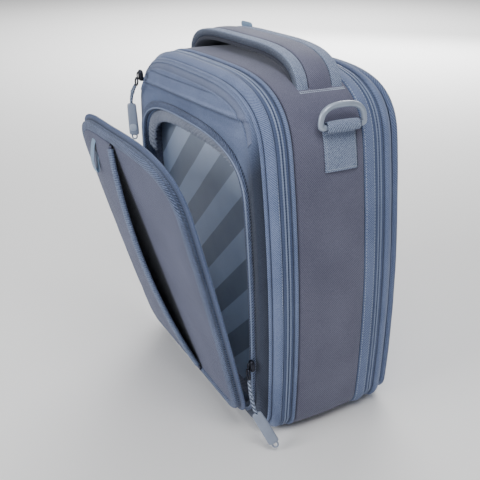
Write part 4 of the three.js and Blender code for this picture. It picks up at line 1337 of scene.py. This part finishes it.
def trolley_sleeve():
    """A skin that rises from both side seams, flat between them, with a hem above and below."""
    low, high = box_mm("trolley_sleeve")
    x = np.concatenate([np.linspace(low.x, low.x + 10, 8), np.linspace(low.x + 10, high.x - 10, 90)[1:-1],
                        np.linspace(high.x - 10, high.x, 8)])
    reach = np.clip((high.x - np.abs(x)) / 10, 0, 1)
    lift = low.y + 0.4 + (high.y - low.y - 1.6) * np.sin(reach * np.pi / 2)
    z = np.linspace(low.z + 0.5, high.z - 0.5, 44)
    outer = np.stack(np.broadcast_arrays(x[:, None], lift[:, None], z[None, :]), axis=-1).copy()
    outer[..., 1] += unevenness(outer, 0.35, 40, 43) * reach[:, None]
    hem = bell(z, z[0] + 5, 2.0) + bell(z, z[-1] - 5, 2.0)
    outer[..., 1] += 0.3 * hem[None, :]
    inner = outer[:, ::-1] - [0, SLEEVE_SKIN, 0]
    inner[..., 1] = np.where(reach[:, None] < 0.05, low.y - 0.6, inner[..., 1])
    points = np.concatenate([outer, inner], axis=1)
    sleeve = capped_piece("trolley_sleeve_cloth", points)
    finish(sleeve, "back_panel", BLUE_TWILL, "light_twill", "trolley_sleeve")


bag_back()
trolley_sleeve()

# %% [markdown]
# A patch of webbing is sewn to each side of the gusset, and its top is folded round a D-ring.
# The ring is one round wire, straight at the foot and bowed over the top.

# %% Rings and their tabs
WIRE_RADIUS = 2.9
LOOP_RADIUS = 5.0
TAB_WEBBING = (37.4, 2.2)
PIVOT_RISE = 3.0
TAB_STITCH_SIZE = (1.9, 0.26)
TAB_STITCH_PITCH = 1.9


def side_tab(side, sign):
    """Webbing up the gusset and round the ring's foot, sewn down by zigzag and straight stitches."""
    low, high = box_mm("d_tab_" + side)
    ring_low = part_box("d_ring_" + side)[0] / MM
    pivot_z = ring_low.z + PIVOT_RISE
    outline = bag_outline(0, 2000)
    right = outline[outline[:, 0] > 100]
    order = np.argsort(right[:, 1])
    z = np.linspace(low.z + 0.8, pivot_z - 4, 40)
    wall = np.interp(z, right[order, 1], right[order, 0])
    pivot_x = (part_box("d_ring_" + side)[0].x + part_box("d_ring_" + side)[1].x) / 2 / MM * sign
    arc = np.linspace(-0.35 * np.pi, 0.95 * np.pi, 30)
    loop = np.stack([pivot_x + LOOP_RADIUS * np.cos(arc), pivot_z + LOOP_RADIUS * np.sin(arc)], axis=1)
    path = np.vstack([np.stack([wall + 1.6, z], axis=1), loop])
    path = relax(even_steps(path, 90), 6)
    line = raised(path * [sign, 1], (low.y + high.y) / 2)
    piece = capped_piece("ring_tab_" + side, ribbon(line, *TAB_WEBBING, (0.0, 1.0, 0.0)))
    finish(piece, "carcass", WEBBING, "webbing", "d_tab_" + side)
    stitches = []
    for y in (low.y + 3.0, high.y - 3.0):
        for k, height in enumerate(np.arange(low.z + 3.5, pivot_z - 8, TAB_STITCH_PITCH)):
            stitches.append((y, height, 1.0 if k % 2 else -1.0))
    for y in np.arange(low.y + 4, high.y - 3, TAB_STITCH_PITCH):
        stitches.append((y, low.z + 3.0, 0.0))
        stitches.append((y, pivot_z - 7.5, 0.0))
    rows = np.array(stitches)
    at_x = np.interp(rows[:, 1], right[order, 1], right[order, 0]) + 2.6
    places = np.stack([sign * at_x, rows[:, 0], rows[:, 1]], axis=1)
    zigzag = rows[:, 2:3] != 0
    directions = np.where(zigzag, straight(0.0, rows[:, 2], 0.9), np.array([0.0, 1.0, 0.0]))
    normals = np.tile(np.array([sign * 1.0, 0, 0]), (len(rows), 1))
    stitch_row("ring_tab_stitches_" + side, "carcass", places, directions, normals, *TAB_STITCH_SIZE)


def d_ring(side):
    """A round wire along a closed line: a superellipse above, a straight foot below, smoothed."""
    low, high = box_mm("d_ring_" + side)
    r = WIRE_RADIUS
    half, height = (high.y - low.y) / 2 - r, high.z - low.z - 2 * r
    angle = np.linspace(0, np.pi, 60)
    bowed = np.stack([half * signed_power(np.cos(angle), 0.72),
                      height * np.sin(angle) ** 0.62], axis=1)
    line = np.vstack([bowed, [[-half + 1, 0], [half - 1, 0]]])
    line = even_steps(line, 150, closed=True)
    for _ in range(10):
        line = (np.roll(line, 1, axis=0) + 2 * line + np.roll(line, -1, axis=0)) / 4
    normal = outward(line)
    turn = full_turn(16)[None, :]
    x = (low.x + high.x) / 2 + r * np.sin(turn) + 0 * line[:, :1]
    y = (low.y + high.y) / 2 + line[:, :1] + normal[:, :1] * r * np.cos(turn)
    z = low.z + r + line[:, 1:] + normal[:, 1:] * r * np.cos(turn)
    piece = grid_piece("ring_" + side + "_wire", np.stack([x, y, z], axis=-1), True, True)
    finish(piece, "ring_" + side, RING_PAINT, "ring_paint", "d_ring_" + side)


RING_PAINT = plastic("ring_paint", rgb(158, 170, 188), 0.34, 0.35)
GUNMETAL = plastic("gunmetal", rgb(46, 48, 58), 0.28, 0.85)
RUBBER = plastic("pull_rubber", rgb(138, 148, 168), 0.5, 0.0, 0.5, 0.25)
MEDALLION = plastic("medallion", rgb(176, 188, 206), 0.4, 0.1)
BOARD = plastic("board", rgb(70, 74, 84), 0.6)
CORD = fabric("pull_cord", rgb(40, 47, 68), rgb(160, 174, 200), (5.0, 3.4), 1.1, 0.8, 1.4, 0.2, 0.5)

for side, sign in (("right", 1), ("left", -1)):
    side_tab(side, sign)
    d_ring(side)
base = bpy.data.objects["base_board"]
base.data.materials.clear()
base.data.materials.append(BOARD)

# %% [markdown]
# Each zip slider carries an oval ring, two strands of cord, a knot and a moulded tab. The whole
# pull is drawn in the slider's own frame and then placed at its station.

# %% Sliders and pulls
SIDE_PULL = dict(at=None, turn=-math.pi / 2, tilt=0.0,
                 steps=[(0, -0.6, -10), (0, -0.8, -20), (0, -0.6, -30)], heading=(0, 0, -1), face=(0, 1, 0))
PULLS = {
    "pocket": dict(at=(151.1, -62.4, 96), turn=0.0, tilt=0.12,
                   steps=[(1.5, 0.2, -11), (3.5, 0.8, -23), (7, 2, -35)], heading=(17, 14, -37),
                   face=(-0.77, 0.48, -0.42)),
    "quick": dict(at=(-118, -62.4, 345.7), turn=0.0, tilt=-math.pi / 4,
                  steps=[(-9, 0, -6), (-18, 0, -14), (-24.5, 0.2, -24)], heading=(0, 0, -1),
                  face=(-0.77, 0.48, -0.42)),
    "front_zip": SIDE_PULL,
    "rear_zip": SIDE_PULL,
}
SLIDER_BODY = (9, 6, 13)
PULL_RING = (4.5, 6.5, 1.05)
TAB_LENGTH, TAB_WIDTH, TAB_DEPTH = 40, 12, 4.2
HINGE_Y, HINGE_Z = -7.4, -3.5
CORD_RADIUS = 1.35
KNOT_AT = 26
CORD_STEPS = 60
RING_HANG = 12.0
TAB_OVERLAP = 3.8
POLE_MERGE = 1e-5


def ball(radii, power=2.0, rings=18, sides=28):
    """A superellipsoid: each axis is sign(c)|c|^(2/power), closed at its poles."""
    high = np.linspace(-np.pi / 2, np.pi / 2, rings)[:, None]
    around = full_turn(sides)[None, :]
    level = signed_power(np.cos(high), 2 / power)
    x = radii[0] * level * signed_power(np.cos(around), 2 / power)
    y = radii[1] * level * signed_power(np.sin(around), 2 / power)
    z = radii[2] * signed_power(np.sin(high), 2 / power) + 0 * around
    return np.stack([x, y, z], axis=-1)


def station(pull, name):
    """Where the slider sits: read from its CAD box for the two side zips."""
    if pull["at"] is not None:
        return np.array(pull["at"], dtype=float)
    low, high = box_mm(name + "_slider")
    return np.array([high.x, (low.y + high.y) / 2, (low.z + high.z) / 2])


def placed(points, pull, at):
    """Turns local points about z and moves them to the station."""
    c, s = math.cos(pull["turn"]), math.sin(pull["turn"])
    x, y = points[..., 0], points[..., 1]
    return np.stack([x * c - y * s, x * s + y * c, points[..., 2]], axis=-1) + at


def make_slider(name, pull, at):
    """A tapered superellipsoid with a bent bridge in front of it."""
    w, d, h = SLIDER_BODY
    body = ball((w / 2, d / 2 - 0.4, h / 2), 3.2)
    body[..., 0] *= 1 - 0.16 * body[..., 2] / (h / 2)
    body[..., 1] -= d / 2
    piece = merge_poles(grid_piece(name + "_slider_body", placed(body, pull, at), False, True,
                                   uv=np.zeros(body.shape[:2] + (2,))), POLE_MERGE)
    finish(piece, name + "_runner", GUNMETAL, "gunmetal", name + "_slider")
    arc = np.linspace(-0.15 * np.pi, 1.15 * np.pi, 24)
    bridge = np.stack([0 * arc, -d + 0.4 - 1.7 * np.sin(arc), 4.2 * np.cos(arc)], axis=1)
    bridge = tube(bridge, 1.5, 0.6, (1.0, 0, 0), 10)
    piece = capped_piece(name + "_slider_bridge", placed(bridge, pull, at))
    finish(piece, name + "_runner", GUNMETAL, "gunmetal")


def make_ring(name, pull, at):
    """A round wire along an ellipse that hangs from the bridge, tilted in its own plane."""
    half_width, half_height, wire = PULL_RING
    angle = full_turn(60)
    x = (half_width - wire) * np.cos(angle)
    z = (half_height - wire) * np.sin(angle) - half_height + wire
    tilt = pull["tilt"]
    line = np.stack([x * math.cos(tilt) - z * math.sin(tilt), np.full(60, HINGE_Y),
                     z * math.cos(tilt) + x * math.sin(tilt) + HINGE_Z], axis=1)
    side = np.tile(np.array([0, 1.0, 0]), (60, 1))
    normal = np.cross(unit(chords(line)), side)
    turn = full_turn(12)[None, :, None]
    points = line[:, None] + wire * (side[:, None] * np.cos(turn) + normal[:, None] * np.sin(turn))
    piece = grid_piece(name + "_oval_ring", placed(points, pull, at), True, True)
    finish(piece, name + "_pull", GUNMETAL, "gunmetal", name + "_pull_ring")


def make_cord(name, pull, at):
    """Two strands side by side from the ring to the tab, with a knot where they leave the ring."""
    tilt = pull["tilt"]
    start = np.array([math.sin(tilt) * RING_HANG, HINGE_Y, HINGE_Z - math.cos(tilt) * RING_HANG])
    route = np.array([start] + [start + np.array(step, dtype=float) for step in pull["steps"]])
    heading = unit(np.array(pull["heading"], dtype=float))
    foot = route[-1] + heading * 6
    line = bend(np.vstack([route, foot]), CORD_STEPS)
    apart = unit(np.cross(unit(np.gradient(line, axis=0)), [0, 1.0, 0]))
    gap = 0.7 + 0.9 * np.sin(np.linspace(0, np.pi, CORD_STEPS)) ** 0.7
    strands = []
    for k, hand in enumerate((-1, 1)):
        strand = line + apart * (gap * hand)[:, None]
        strands.append(placed(strand, pull, at) * MM)
        skin = placed(tube(strand, CORD_RADIUS, CORD_RADIUS, apart, 10), pull, at)
        piece = capped_piece(name + "_cord_" + "ab"[k], skin)
        finish(piece, name + "_pull", CORD, "pull_cord", name + "_pull_cord")
    knot = ball((2.9, 2.3, 2.6), 2.2, 14, 20)
    knot *= 1 + 0.10 * np.sin(6 * np.arctan2(knot[..., 1:2], knot[..., :1]) + knot[..., 2:] * 2)
    knot = knot + line[KNOT_AT]
    piece = merge_poles(grid_piece(name + "_knot", placed(knot, pull, at), False, True), POLE_MERGE)
    finish(piece, name + "_pull", CORD, "pull_cord")
    return strands, foot, heading


def make_tab(name, pull, at, foot, heading):
    """A rounded bar along the heading: its section is a superellipse, drawn in at both ends."""
    start = foot - heading * TAB_OVERLAP
    t = np.linspace(0, 1, 46)
    t = (1 - np.cos(np.pi * t)) / 2
    line = start + heading * (t * TAB_LENGTH)[:, None]
    ends = np.clip(1 - np.abs(2 * t - 1) ** 22, 0, 1) ** 0.5
    waist = 1 - 0.12 * (1 - t) ** 2
    side = unit(np.cross(heading, pull["face"]))
    depth = np.cross(side, heading)
    turn = full_turn(24)
    across = TAB_WIDTH / 2 * signed_power(np.cos(turn), 0.6)
    thick = TAB_DEPTH / 2 * signed_power(np.sin(turn), 0.7)
    wide = (ends * waist).clip(0.03)[:, None, None]
    deep = ends.clip(0.03)[:, None, None]
    points = line[:, None] + side * across[None, :, None] * wide + depth * thick[None, :, None] * deep
    piece = capped_piece(name + "_rubber_tab", placed(points, pull, at),
                         uv=np.zeros(points.shape[:2] + (2,)))
    finish(piece, name + "_pull", RUBBER, "pull_rubber", name + "_pull_tab")
    around = full_turn(40)[:, None]
    centre = start + heading * (TAB_LENGTH + 1.2)
    line = centre + side * 2.9 * np.cos(around) + heading * 3.4 * np.sin(around)
    out = side * np.cos(around) + heading * np.sin(around)
    turn = full_turn(10)[None, :, None]
    points = line[:, None] + 0.95 * (out[:, None] * np.cos(turn) + depth * np.sin(turn))
    eye = grid_piece(name + "_tab_eye", placed(points, pull, at), True, True)
    finish(eye, name + "_pull", RUBBER, "pull_rubber")
    if name == "quick":
        button = ball((4.4, 4.4, 0.8), 2.6, 16, 32)
        middle = start + heading * 30 - depth * TAB_DEPTH / 2
        button = (button[..., :1] * side + button[..., 1:2] * heading + button[..., 2:] * depth) + middle
        button = grid_piece("quick_medallion", placed(button, pull, at), False, True)
        merge_poles(button, POLE_MERGE)
        finish(button, name + "_pull", MEDALLION, "gunmetal")


for name, pull in PULLS.items():
    at = station(pull, name)
    make_slider(name, pull, at)
    make_ring(name, pull, at)
    strands, foot, heading = make_cord(name, pull, at)
    make_tab(name, pull, at, foot, heading)

# %% [markdown]
# The floor is one large pale matt plane under the base.

FLOOR_SIZE = 12
FLOOR_Z = -0.0005


def floor():
    """A plane just under the base, kept out of the object as part of the stage."""
    bpy.ops.mesh.primitive_plane_add(size=FLOOR_SIZE, location=(0, 0, FLOOR_Z))
    plane = bpy.context.object
    plane.name = "studio_floor"
    material, _, shader = new_material("floor", 0.95)
    shader.inputs["Base Color"].default_value = (0.93, 0.93, 0.93, 1)
    plane.data.materials.append(material)


floor()
